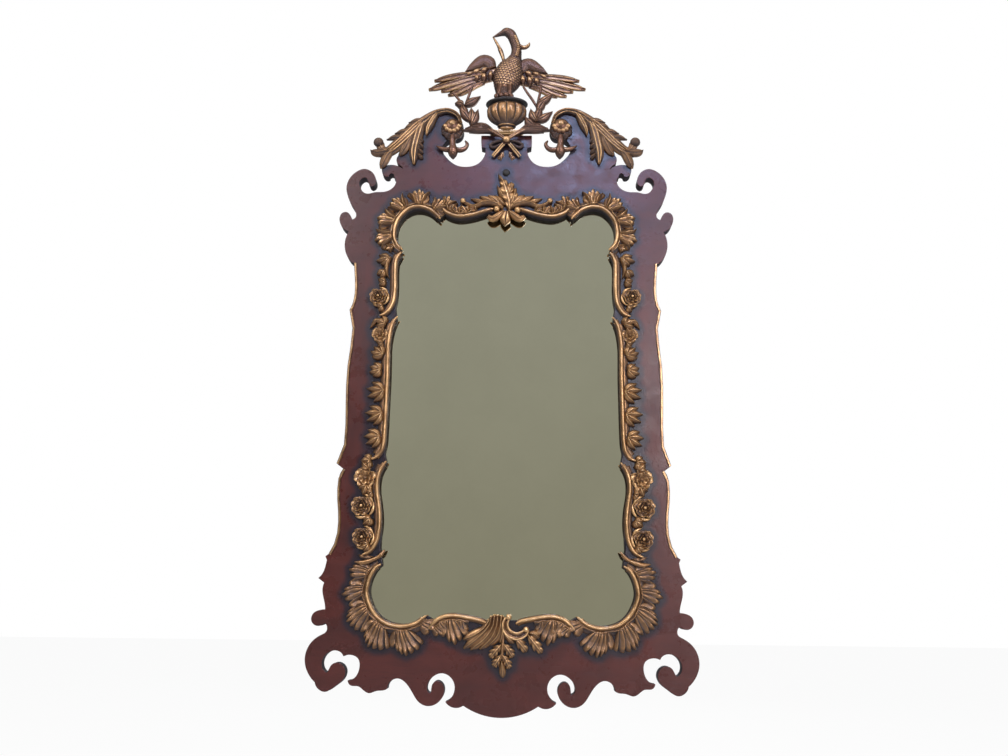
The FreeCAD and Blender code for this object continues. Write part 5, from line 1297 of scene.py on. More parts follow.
class MIRROR_OT_swan_necks(bpy.types.Operator):
    """Leaves over the swan necks, rosettes and husk pendants"""

    bl_idname = "mirror.swan_necks"
    bl_label = "Swan necks"

    def execute(self, context):
        carve_pair(self.leaf(), "swan_leaf")
        carve_pair(self.rosette(), "rosette", "bronze_gilding")
        carve_pair(self.pendant(), "husk_pendant", "bronze_gilding")
        return {"FINISHED"}

    @staticmethod
    def leaf():
        """Long fluted leaf that springs over the rosette, with teeth above, a hanging leaf and a curled tip."""
        carving = Carving(TEETH_SHADE)
        for places in SWAN_TEETH:
            carving.leaf(places, 0.7, 0.65, shape=(0.8, 1.0, 0.95, 0.7, 0.4, 0.03))
        carving.shade = SWAN_SHADE
        carving.leaf(SWAN_STEM, 0.75, 0.75, shape=(0.35, 0.6, 0.8, 1.0, 1.15, 1.3), rise=(0.7, 0.9, 1.0, 1.0, 1.0),
                     rib=-0.4)
        carving.leaf(SWAN_MAIN, 1.3, 0.8, shape=(0.5, 0.9, 1.0, 1.0, 0.9, 0.8, 0.4), rib=0.0, lean=0.0)
        carving.leaves(SWAN_SIDE_LEAVES, shape=PETAL_SHAPE)
        carving.leaf(SWAN_TIP, 0.75, 0.95, shape=BLADE_SHAPE)
        carving.leaf(SWAN_HANGING, 1.05, 0.9, shape=(0.6, 0.85, 1.0, 1.0, 0.95, 0.75, 0.2), rib=0.0, lean=0.0)
        for row in FRINGE_ROWS:
            carving.leaf(((17.2, row + 0.6), (16.7, row + 0.3), (16.1, row - 0.3)), 0.4, 0.75, shape=PETAL_SHAPE)
        carving.leaf(SWAN_SHORT, 0.8, 0.85, shape=(0.4, 0.8, 1.0, 0.8, 0.1), rib=0.0, lean=0.0)
        carving.shade = RIDGE_SHADE
        for line, shifts, proud, thick in SWAN_RIDGES:
            path = smooth_path(line, RIDGE_STATIONS)
            height = proud * spread((0.85, 1.0, 1.0, 1.0, 0.8), RIDGE_STATIONS)
            for shift in shifts:
                ridge = beside(path, shift * spread((0.6, 1.0, 1.0, 0.9, 0.3), RIDGE_STATIONS), height)
                carving.tube(ridge, thick * spread((0.5, 1.0, 1.0, 0.9, 0.3), RIDGE_STATIONS), 8)
        carving.shade = CURL_SHADE
        carving.leaf(SWAN_CURL, 0.85, 0.7, shape=(0.8, 1.0, 1.0, 0.9, 0.7))
        carving.shade = KNOB_SHADE
        carving.ball((24.7, 103.0, 0.5), 0.98, 0.75)
        return carving

    @staticmethod
    def rosette():
        """Round boss with a skirt of petals round the pendant's stem."""
        carving = Carving(SKIRT_SHADE)
        for angle in SKIRT_ANGLES:
            carving.leaf((SKIRT, polar(SKIRT, 1.3, angle), polar(SKIRT, 2.2, angle)), 0.75, 0.8, shape=PETAL_SHAPE)
        carving.shade = BOSS_SHADE
        carving.ball(BOSS + (0.3,), 1.7, 0.7)
        carving.shade = BUDS_SHADE
        for angle in np.radians(range(190, 360, 32)):
            carving.ball((BOSS[0] + 1.35 * math.cos(angle), BOSS[1] + 1.2 * math.sin(angle), 0.7), 0.62)
        carving.ball((10.5, 106.7, 1.05), 0.8, 0.8)
        return carving

    @staticmethod
    def pendant():
        """Husk on a stem between two hooked leaves."""
        carving = Carving(PENDANT_SHADE)
        stem = ((10.42, 104.4, 0.75), (10.4, 103.4, 0.8), (10.35, 102.5, 0.75), (10.3, 101.7, 0.7),
                (10.25, 100.6, 0.6), (10.2, 99.4, 0.45))
        carving.strand(stem, (0.45, 0.55, 0.62, 0.6, 0.75, 1.0, 0.95, 0.7, 0.14), 50, 14, flat=0.8)
        left = ((10.1, 101.7, 0.6), (9.1, 101.25, 0.6), (8.0, 101.6, 0.6), (7.55, 102.5, 0.6), (7.95, 103.3, 0.55))
        carving.strand(left, (0.4, 0.5, 0.5, 0.42, 0.36, 0.14), 36)
        right = ((10.4, 101.7, 0.6), (11.4, 101.35, 0.6), (12.5, 101.6, 0.6), (13.5, 102.2, 0.55))
        carving.strand(right, (0.4, 0.5, 0.45, 0.36, 0.1), 30)
        for place in ((10.2, 100.3, 1.0), (9.8, 100.9, 0.95), (10.65, 100.9, 0.95)):
            carving.ball(place, 0.36)
        return carving


# Finial

# How far the middle of urn and bird stands before the boards' face
FINIAL_PROUD = 0.4
# Urn: rows and radii in squares
URN_PROFILE = (
    (105.65, 1.6), (105.9, 1.62), (106.05, 1.45), (106.18, 1.28), (106.3, 1.5), (106.42, 1.78), (106.55, 1.8),
    (106.7, 1.7), (106.9, 1.95), (107.4, 2.7), (108.0, 3.35), (108.8, 3.82), (109.6, 3.95), (110.3, 3.75),
    (110.8, 3.35), (110.98, 3.05), (111.05, 3.3), (111.12, 3.8), (111.22, 4.05), (111.4, 4.08), (111.55, 3.95),
    (111.8, 3.3), (112.2, 2.6),
)
URN_STATIONS = 110
URN_DEPTH = 0.6
GADROONS = 12
GADROON_CORNERS = 12
GADROON_ROWS = (106.85, 110.85)
GADROON_CUT = 0.16
LID_ROW = 111.0
URN_SHADE, LID_SHADE = 0.13, 1.0
# Plinth cap: shares of its height and of its depth
CAP_PROFILE = (
    (0.0, 0.55), (0.12, 0.62), (0.3, 0.7), (0.42, 0.86), (0.55, 0.9), (0.66, 0.9), (0.7, 1.0), (1.0, 1.0),
)
CAP_NARROWEST = 0.86


class MIRROR_OT_finial(bpy.types.Operator):
    """Plinth cap and gadrooned urn"""

    bl_idname = "mirror.finial"
    bl_label = "Urn and plinth cap"

    def execute(self, context):
        carve(self.urn(), "urn")
        cap = carve(self.cap(), "plinth_cap", "bronze_gilding")
        for polygon in cap.data.polygons:
            polygon.use_smooth = False
        return {"FINISHED"}

    @staticmethod
    def urn():
        """Oval bowl with gadroons, and its dark lid."""
        profile = smooth_path([(radius, row) for row, radius in URN_PROFILE], URN_STATIONS)
        radius, row = profile[:, 0:1], profile[:, 1:2]
        angle = np.linspace(0, 2 * math.pi, GADROONS * GADROON_CORNERS, endpoint=False)
        lobe = np.abs(np.sin(angle * GADROONS / 2)) ** 0.5
        inside = np.clip(np.minimum(row - GADROON_ROWS[0], GADROON_ROWS[1] - row) / 0.5, 0, 1)
        reach = radius * (1 - GADROON_CUT * inside * (1 - lobe))
        depth = FINIAL_PROUD + URN_DEPTH * reach * np.sin(angle)
        rings = np.stack([reach * np.cos(angle), np.broadcast_to(row, reach.shape), depth], -1)
        lid = int(np.searchsorted(profile[:, 1], LID_ROW))
        carving = Carving(URN_SHADE)
        carving.wrapped(rings[:lid])
        carving.shade = LID_SHADE
        carving.wrapped(rings[lid - 1:])
        return carving

    @staticmethod
    def cap():
        """Moulded cap as wide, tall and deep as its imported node."""
        low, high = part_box("plinth_cap")
        foot = (low.z - APRON_FOOT) / SQUARE
        tall = (high.z - low.z) / SQUARE
        half = high.x / SQUARE
        deep = (BOARD_FRONT - low.y) / SQUARE
        back = (BOARD_FRONT - high.y) / SQUARE
        rings = []
        for rise, share in CAP_PROFILE:
            x = half * (CAP_NARROWEST + (1 - CAP_NARROWEST) * share)
            row = foot + tall * rise
            front = deep * share
            rings.append([(-x, row, back), (x, row, back), (x, row, front), (-x, row, front)])
        carving = Carving()
        carving.wrapped(rings)
        return carving


# Bird: line from the feet to the bill as (column, row), half width and half depth in squares
BIRD_LINE = (
    ((-0.7, 112.25), 1.5, 1.1), ((-0.75, 113.4), 1.3, 1.0), ((-0.6, 114.6), 1.9, 1.4), ((-0.2, 116.2), 2.65, 1.85),
    ((0.25, 117.9), 2.92, 2.05), ((0.8, 119.6), 2.5, 1.85), ((1.35, 121.1), 1.55, 1.35), ((1.7, 122.4), 1.1, 1.05),
    ((1.8, 123.8), 0.98, 0.95), ((1.55, 125.2), 0.95, 0.95), ((1.1, 126.5), 0.95, 0.95), ((0.6, 127.5), 1.0, 0.95),
    ((-0.3, 128.0), 0.9, 0.85), ((-1.2, 127.7), 0.5, 0.55), ((-2.2, 127.2), 0.28, 0.3), ((-3.0, 126.8), 0.08, 0.1),
)
BIRD_STATIONS = 210
# Feathers: rows from feet to bill, number round the body, points for each, and how far they stand out
SCALE_ROWS = 42
SCALES_ROUND = 24
SCALE_POINTS = 6
SCALE_RELIEF = 0.07
# Lengths without feathers at the feet and at the head, and the length over which they start
BARE_FEET, BARE_HEAD, FEATHERS_START = 2.2, 4.6, 0.6
THIGH_RISE = 2.3
NECK_STATION = 6
NECK_SHADE, THIGH_SHADE, TRIM_SHADE, FOOT_SHADE = 0.24, 0.35, 0.12, 0.3
# Strands about the neck: places, radii and stations
BIRD_STRANDS = (
    (((1.8, 124.9, 0.4), (2.8, 124.4, 0.45), (3.6, 124.4, 0.45), (4.2, 124.9, 0.4), (4.4, 125.5, 0.4)),
     (0.7, 0.55, 0.42, 0.38, 0.34, 0.12), 36),
    (((-0.7, 120.3, 0.7), (-0.85, 121.8, 0.6), (-1.3, 123.4, 0.5), (-1.9, 124.9, 0.45), (-2.8, 126.7, 0.4)),
     (0.3, 0.3, 0.4, 0.46, 0.3, 0.26, 0.16), 44),
)
BRAID = ((1.75, 121.4, 1.5), (2.05, 122.6, 1.2), (2.15, 123.9, 1.1), (1.9, 125.3, 1.1), (1.4, 126.6, 1.1))
BRAID_STATIONS = 90
BRAID_PLAITS, BRAID_THIN, BRAID_SWELL = 12, 0.3, 0.14
BIRD_EYE = (-0.1, 128.25, 1.1)
BIRD_FEET = ((-2.0, 112.75, 1.2), (-1.1, 112.7, 1.6), (-0.1, 112.75, 1.6), (0.8, 112.75, 1.2))
# Wings, drawn on the right: quills as places and half width
WING_QUILLS = (
    (((4.6, 117.6), (7.6, 117.5), (11.0, 117.2), (14.2, 116.6)), 0.66),
    (((4.6, 117.1), (7.8, 116.7), (11.6, 115.8), (15.4, 114.8)), 0.76),
    (((4.5, 116.6), (7.4, 116.0), (10.4, 115.1), (13.0, 114.3)), 0.72),
    (((4.4, 116.2), (7.0, 115.4), (9.4, 114.3), (11.7, 113.4)), 0.7),
    (((4.3, 115.9), (6.2, 115.2), (8.0, 114.3), (9.9, 113.4)), 0.6),
)
WING_TIP = (15.4, 114.8)
# The left wing is turned up about its tip
LEFT_WING_RISE = 1.2
LEFT_WING_TURN = math.atan2(LEFT_WING_RISE, WING_TIP[0])
QUILL_WIDER = 1.15
# Height of the lowest quill, and how much higher each next one lies
QUILL_LOWEST, QUILL_STEP = -0.2, 0.13
WING_ROOT = ((1.6, 117.6), (3.2, 117.5), (5.2, 117.0), (7.2, 116.6))
WING_SHOULDER = ((2.7, 118.6), (3.2, 120.1), (4.3, 120.6), (5.9, 119.7), (8.0, 118.3))
SHOULDER_SHADE = 0.3
# Coverts: root, tip and half width
WING_COVERTS = (
    ((2.9, 117.7), (3.1, 115.8), 0.58), ((4.2, 117.4), (4.5, 115.6), 0.62), ((5.5, 117.0), (6.0, 115.6), 0.56),
    ((3.5, 118.5), (5.0, 117.5), 0.56), ((5.0, 118.3), (6.7, 117.3), 0.56), ((6.4, 117.8), (8.0, 116.8), 0.46),
)


class MIRROR_OT_bird(bpy.types.Operator):
    """Bird with a feathered breast, a scaly neck and spread wings"""

    bl_idname = "mirror.bird"
    bl_label = "Bird"

    def execute(self, context):
        carve(self.body(), "bird", "bronze_gilding")
        for side, turn in zip(SIDES, (0.0, LEFT_WING_TURN)):
            carve(self.wing(turn), f"{side}_wing", "bronze_gilding", side == "left")
        return {"FINISHED"}

    @staticmethod
    def body():
        """Body, neck, head and bill in one skin with raised feathers, a plume and a tendril."""
        places, wide, deep = zip(*BIRD_LINE)
        stations = walked_along(np.array(places))
        walked = np.linspace(0, stations[-1], BIRD_STATIONS)
        line = smooth_path(places, BIRD_STATIONS)
        angle = np.linspace(0, 2 * math.pi, SCALES_ROUND * SCALE_POINTS, endpoint=False)
        row = (walked / stations[-1] * SCALE_ROWS)[:, None]
        turn = angle / (2 * math.pi) * SCALES_ROUND + 0.5 * (row.astype(int) % 2)
        across = 1 - np.abs((turn % 1.0) * 2 - 1) ** 2
        from_ends = np.minimum(walked - BARE_FEET, stations[-1] - BARE_HEAD - walked)
        feathered = np.clip(from_ends / FEATHERS_START, 0, 1)[:, None]
        swell = 1 + SCALE_RELIEF * feathered * ((1 - row % 1.0) * across - 0.35)
        sideways = np.interp(walked, stations, wide)[:, None] * np.cos(angle) * swell
        forward = np.interp(walked, stations, deep)[:, None] * np.sin(angle) * swell
        flat = line[:, None, :2] + headings(line)[1][:, None] * sideways[..., None]
        rings = np.dstack([flat, FINIAL_PROUD + forward])
        thigh = int(np.searchsorted(walked, THIGH_RISE))
        neck = int(np.searchsorted(walked, stations[NECK_STATION]))
        carving = Carving()
        carving.wrapped(rings[thigh - 1:neck])
        carving.shade = NECK_SHADE
        carving.wrapped(rings[neck - 1:])
        carving.shade = THIGH_SHADE
        carving.wrapped(rings[:thigh])
        carving.shade = TRIM_SHADE
        for strand in BIRD_STRANDS:
            carving.strand(*strand)
        plaits = np.abs(np.sin(np.linspace(0, BRAID_PLAITS * math.pi, BRAID_STATIONS)))
        carving.tube(smooth_path(BRAID, BRAID_STATIONS), BRAID_THIN + BRAID_SWELL * plaits, 10)
        carving.ball(BIRD_EYE, 0.18)
        carving.shade = FOOT_SHADE
        for foot in BIRD_FEET:
            carving.ball(foot, 0.55, 0.8)
        for column in (-1.5, 0.5):
            leg = ((column, 112.8, 1.0), (column * 1.05, 114.0, 1.2), (column * 0.9, 115.2, 1.5))
            carving.strand(leg, (0.4, 0.5, 0.75), 20)
        return carving

    @staticmethod
    def wing(turn):
        """Shoulder leaf, coverts and long quills, turned up about the longest quill's tip."""
        def at(places, proud):
            """Places turned about the tip and set at a height."""
            made = []
            for column, row in places:
                away, up = WING_TIP[0] - column, row - WING_TIP[1]
                made.append((WING_TIP[0] - away * math.cos(turn) + up * math.sin(turn),
                             WING_TIP[1] + up * math.cos(turn) + away * math.sin(turn), proud))
            return made

        carving = Carving()
        for index, (places, half) in enumerate(reversed(WING_QUILLS)):
            quill = at(places, QUILL_LOWEST + QUILL_STEP * index)
            carving.leaf(quill, QUILL_WIDER * half, 0.55, shape=FEATHER_SHAPE, crown=0.3, thick=0.55, lean=0.25,
                         rib=-0.5, tilt=-0.25)
        carving.leaf(at(WING_ROOT, 0.0), 1.5, 0.5, shape=(0.9, 1.0, 1.0, 0.9, 0.5), rib=0.0, crown=0.4, thick=0.6,
                     lean=0.0)
        for root, tip, half in WING_COVERTS:
            middle = ((root[0] + tip[0]) / 2 + 0.1, (root[1] + tip[1]) / 2)
            places = at((root,), 0.45) + at((middle,), 0.6) + at((tip,), 0.4)
            carving.leaf(places, half, 0.65, shape=PETAL_SHAPE, crown=0.75, thick=0.7, lean=0.0, rib=0.0)
        carving.shade = SHOULDER_SHADE
        carving.leaf(at(WING_SHOULDER, 0.25), 1.25, 0.6, shape=(0.75, 1.0, 1.0, 0.85, 0.55, 0.04), crown=0.6,
                     thick=0.8, lean=0.0, rib=0.0)
        return carving


# Branches and bow

# Laurels: stems and leaves on each side, drawn as if on the right
LAUREL_STEMS = {
    "right": (
        ((5.5, 105.8), (5.8, 107.6), (5.9, 109.2), (5.9, 110.6)),
        ((5.9, 110.4), (5.0, 112.0), (4.0, 113.6), (3.2, 115.0)),
        ((5.9, 110.4), (6.2, 112.2), (6.5, 113.8), (6.7, 115.4)),
    ),
    "left": (
        ((6.6, 105.8), (7.3, 107.6), (7.9, 109.2), (8.2, 110.6)),
        ((8.2, 110.4), (9.0, 111.6), (9.8, 112.7), (10.6, 113.7)),
        ((8.2, 110.4), (7.7, 112.1), (7.2, 113.8), (6.7, 115.4)),
    ),
}
LAUREL_LEAVES = {
    "right": (
        ((5.8, 107.2), (7.0, 107.7), (8.9, 109.2)), ((5.7, 107.0), (5.0, 108.3), (4.6, 109.8)),
        ((5.9, 109.2), (6.7, 110.6), (7.6, 112.0)), ((5.3, 106.0), (4.3, 106.8), (3.5, 108.1)),
        ((6.0, 110.9), (7.2, 111.6), (9.0, 113.0)), ((5.8, 107.6), (6.2, 109.0), (6.6, 110.2)),
    ),
    "left": (
        ((7.2, 107.2), (8.0, 108.5), (9.3, 110.3)), ((7.1, 107.0), (6.8, 108.5), (6.9, 110.1)),
        ((6.7, 106.2), (6.1, 107.8), (5.5, 109.7)), ((8.1, 110.6), (6.8, 111.4), (5.1, 112.6)),
        ((8.4, 110.6), (9.2, 111.0), (10.1, 111.0)), ((7.6, 108.6), (8.4, 109.6), (8.6, 110.9)),
    ),
}
# Palm leaves: drop below or above the stem, reach and half width
PALM_LEAVES = ((-0.62, 7.2, 0.5), (0.62, 6.8, 0.5), (-0.2, 8.5, 0.56), (0.25, 8.0, 0.52))
BRANCH_PROUD = 0.95
BRANCH_SHADE, STEM_SHADE, LOOP_SHADE = 0.2, 0.35, 0.8
BOW_LOOP = (
    (0.3, 103.1, 0.6), (1.4, 103.3, 0.5), (2.6, 103.0, 0.35), (3.1, 102.4, 0.3), (2.4, 102.0, 0.3),
    (1.3, 102.5, 0.4), (0.4, 102.9, 0.5),
)
CUT_END = ((-0.3, 103.5, 0.9), (0.7, 102.3, 0.85), (1.6, 101.2, 0.7), (2.6, 99.95, 0.5))
BOW_TAIL = ((0.5, 101.2), (0.9, 100.4), (1.3, 99.7))


class MIRROR_OT_branches(bpy.types.Operator):
    """Crossed branches of palm and laurel, tied with a ribbon"""

    bl_idname = "mirror.branches"
    bl_label = "Branches and bow"

    def execute(self, context):
        for side in SIDES:
            carve(self.branch(side), f"{side}_branch", "bronze_gilding", side == "left")
        carve(self.bow(), "ribbon_bow", "bronze_gilding")
        return {"FINISHED"}

    @staticmethod
    def branch(side):
        """Palm that runs outwards from the knot, and the laurel that rises from it."""
        carving = Carving(BRANCH_SHADE)
        for shift in (-0.2, 0.2):
            stem = ((0.3, 103.3 + shift, 1.35), (1.8, 104.4 + shift, 1.4), (3.6, 105.5 + shift, 1.4))
            carving.strand(stem, (0.9, 1.0, 1.0, 0.8), 30, 8, thick=0.22)
        for drop, reach, half in PALM_LEAVES:
            places = ((2.4, 104.9 + drop * 0.3), (4.2, 105.7 + drop * 0.9), (6.2, 105.75 + drop * 1.1),
                      (reach, 105.35 + drop * 0.8))
            carving.leaf(raised(places, BRANCH_PROUD + 0.1 - 0.1 * abs(drop)), half, 0.55,
                         shape=(0.4, 0.7, 1.0, 1.0, 0.7, 0.06), crown=0.6, thick=0.5, lean=0.2)
        carving.shade = STEM_SHADE
        for places in LAUREL_STEMS[side]:
            carving.strand(raised(places, BRANCH_PROUD), (1.0, 1.0, 0.95, 0.8), 30, thick=0.28)
        carving.shade = BRANCH_SHADE
        for places in LAUREL_LEAVES[side]:
            carving.leaf(raised(places, BRANCH_PROUD + 0.15), 0.85, 0.75, crown=0.6, thick=0.6, lean=0.1, rib=0.35)
        return carving

    @staticmethod
    def bow():
        """Knot, two loops, and the stems' cut ends below it."""
        carving = Carving()
        carving.ball((0.0, 103.2, 1.2), 0.78, 0.75)
        for side in (1, -1):
            carving.shade = LOOP_SHADE
            carving.strand(mirrored(BOW_LOOP, side), (0.2, 0.3, 0.34, 0.3, 0.34, 0.3, 0.2), 60, 8)
            carving.shade = 0.0
            for shift in (-0.2, 0.2):
                end = [(column + shift * 0.8, row + shift * 0.6, proud) for column, row, proud in CUT_END]
                carving.strand(mirrored(end, side), (0.16, 0.18, 0.18, 0.2, 0.17), 30)
            tail = mirrored(BOW_TAIL, side)
            carving.leaf(tail, 0.5, 0.35, lobes=2, depth=0.5, shape=(0.5, 0.9, 1.0, 1.0, 0.8))
        return carving


# Boards

BOARDS = ("crest_board", "apron_board", "left_stile_board", "right_stile_board")
# Boards are cut into faces of this size, so that the painted shadow has points to lie on
GRID_STEP = 0.007
PLANE_NEAR = 1e-6
MERGE_DISTANCE = 2e-6
# Edges are rounded where faces meet at more than this angle, and not within this distance of a joint
SHARP_ANGLE = 0.9
ROUND_STEPS = 3
FLAT_ANGLE = 0.002
FLAT_FACING = 0.999
JOINT_NEAR = 2e-4
# Gilding that lies nearer to the boards than this casts painted shadow on them
SHADOW_HEIGHT = 0.006
DARKEST_SHADOW, SHADOW_GAIN = 0.95, 1.25


def merged(name):
    """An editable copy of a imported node, its doubles merged."""
    form = bmesh.new()
    form.from_mesh(NODES[name].data)
    bmesh.ops.remove_doubles(form, verts=form.verts, dist=MERGE_DISTANCE)
    return form


def finished(form, name):
    """The mesh of an edited form, which is freed."""
    mesh = bpy.data.meshes.new(name)
    form.to_mesh(mesh)
    form.free()
    return mesh


class MIRROR_OT_boards(bpy.types.Operator):
    """Mahogany boards with rounded edges and a dark painted shadow beside the gilding"""

    bl_idname = "mirror.boards"
    bl_label = "Fret boards"

    def execute(self, context):
        settings = context.scene.carved_mirror
        gilt = self.gilt_points()
        for name in BOARDS:
            mesh = self.rounded(name, settings.board_round)
            self.mark_halo(mesh, gilt, settings.halo_reach)
            wood = "mahogany_upright" if "stile" in name else "mahogany_across"
            dress(name + "_dressed", mesh, wood, name)
        return {"FINISHED"}

    @staticmethod
    def rounded(name, radius):
        """A merged copy of a board with rounded edges, cut into small faces."""
        form = merged(name)
        bmesh.ops.dissolve_limit(form, angle_limit=FLAT_ANGLE, verts=form.verts, edges=form.edges)
        joints = (APRON_HIGH.z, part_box("crest_board")[0].z)
        sharp = []
        for edge in form.edges:
            at_joint = any(max(abs(vertex.co.z - row) for vertex in edge.verts) < JOINT_NEAR for row in joints)
            if edge.is_manifold and edge.calc_face_angle(0) > SHARP_ANGLE and not at_joint:
                sharp.append(edge)
        bmesh.ops.bevel(form, geom=sharp, offset=radius, offset_type="OFFSET", segments=ROUND_STEPS, profile=0.5,
                        affect="EDGES", clamp_overlap=True)
        low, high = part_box(name)
        for axis in (0, 2):
            normal = Vector((axis == 0, 0, axis == 2))
            place = low[axis] + GRID_STEP
            while place < high[axis]:
                bmesh.ops.bisect_plane(form, geom=form.verts[:] + form.edges[:] + form.faces[:],
                                       plane_co=normal * place, plane_no=normal, dist=PLANE_NEAR)
                place += GRID_STEP
        for face in form.faces:
            face.smooth = abs(face.normal.y) < FLAT_FACING
        return finished(form, name + "_dressed")

    @staticmethod
    def gilt_points():
        """Search tree over the points of all gilt pieces that lie on the boards, apart from the edge beads."""
        near = BOARD_FRONT - SHADOW_HEIGHT
        points = []
        for piece in bpy.context.scene.objects:
            if piece.type == "MESH" and "hollow_and_shade" in piece.data.attributes and "bead" not in piece.name:
                points += [vertex.co for vertex in piece.data.vertices if vertex.co.y > near]
        search = kdtree.KDTree(len(points))
        for index, point in enumerate(points):
            search.insert(point, index)
        search.balance()
        return search

    @staticmethod
    def mark_halo(mesh, gilt, reach):
        """Stores how dark the painted shadow is at each point, from 0 far away to its darkest beside the gilding."""
        values = []
        for vertex in mesh.vertices:
            near = 1 - gilt.find(vertex.co)[2] / reach
            values.append(DARKEST_SHADOW * min(1.0, SHADOW_GAIN * max(0.0, near)))
        mesh.attributes.new("halo", "FLOAT", "POINT").data.foreach_set("value", values)


# Glass, back and hangers

BACK_FINISHES = {
    "glass": ("mirror_glass",), "hardboard": ("backboard",), "felt": ("wall_bumpers",),
    "pine": ("subframe_top_rail", "subframe_bottom_rail", "left_subframe_stile", "right_subframe_stile",
             "crest_batten"),
    "steel": ("glazing_points", "left_hanger_strap", "right_hanger_strap", "left_hanger_ring",
              "right_hanger_ring", "hanger_screws"),
}
BEAD_SHADE = 0.12


class MIRROR_OT_back(bpy.types.Operator):
    """Finishes on the glass, the back, the edge beads and the hangers"""

    bl_idname = "mirror.back"
    bl_label = "Glass, back and hangers"

    def execute(self, context):
        for look, names in BACK_FINISHES.items():
            for name in names:
                materials = NODES[name].data.materials
                materials.clear()
                materials.append(finish(look))
        for side in SIDES:
            name = f"{side}_edge_bead"
            mesh = finished(merged(name), name)
            mark_hollows_and_shade(mesh, BEAD_SHADE)
            dress(name + "_dressed", mesh, "bronze_gilding", name)
        return {"FINISHED"}


# Stage

CAMERA_PLACE = (0.02645, -1.3715, 0.18527)
CAMERA_YAW = -0.019407
CAMERA_PITCH = 0.267406
CAMERA_ROLL = 0.010392
CAMERA_FOCUS_PIXELS = 800.70
PICTURE_WIDTH = 1008
SENSOR_WIDTH = 36.0
# Lamps: place, size and power; they all face one place on the mirror
LAMPS = {
    "key": ((-1.6, -2.2, 1.4), 1.6, 42), "fill": ((1.9, -1.8, 0.6), 1.6, 20), "low": ((1.5, -1.9, -0.95), 1.0, 9),
    "back": ((0.4, 2.2, 1.0), 1.8, 22),
}
LAMPS_FACE = (0, 0, -0.2)
FLOOR_DROP = 0.30
FLOOR_REACH = 8
FLOOR_TONES = ((0.80, 0.80, 0.79, 1.0), (0.84, 0.84, 0.83, 1.0))
FLOOR_WHITE = 0.93
WHITE = (1, 1, 1, 1)
# Sky: colours low and high, and strengths for soft light, in the glass, and in other reflections
SKY_TONES = ((0.62, 0.61, 0.55, 1.0), (0.92, 0.96, 1.0, 1.0))
SKY_SOFT, SKY_IN_GLASS, SKY_DIM = 0.55, 0.66, 0.24
# Parts of the sky: on each axis, where it starts and is full, and where it falls off and ends
GLASS_SKY = (("X", -0.26, -0.21, 0.175, 0.21), ("Z", -0.075, -0.04, 0.445, 0.48))
# Bright patches that only reflections see: colour, strength and part of the sky
SHEENS = (
    ((0.46, 0.60, 1.0, 1.0), 46.0, (("Z", 0.455, 0.50, 0.60, 0.68), ("X", -0.04, 0.06, 0.09, 0.15))),
    ((0.90, 0.86, 0.90, 1.0), 29.0, (("X", 0.172, 0.195, 0.30, 0.38), ("Z", 0.06, 0.22, 0.29, 0.40))),
    ((1.0, 0.90, 0.85, 1.0), 1.8, (("Z", 0.68, 0.80),)),
)


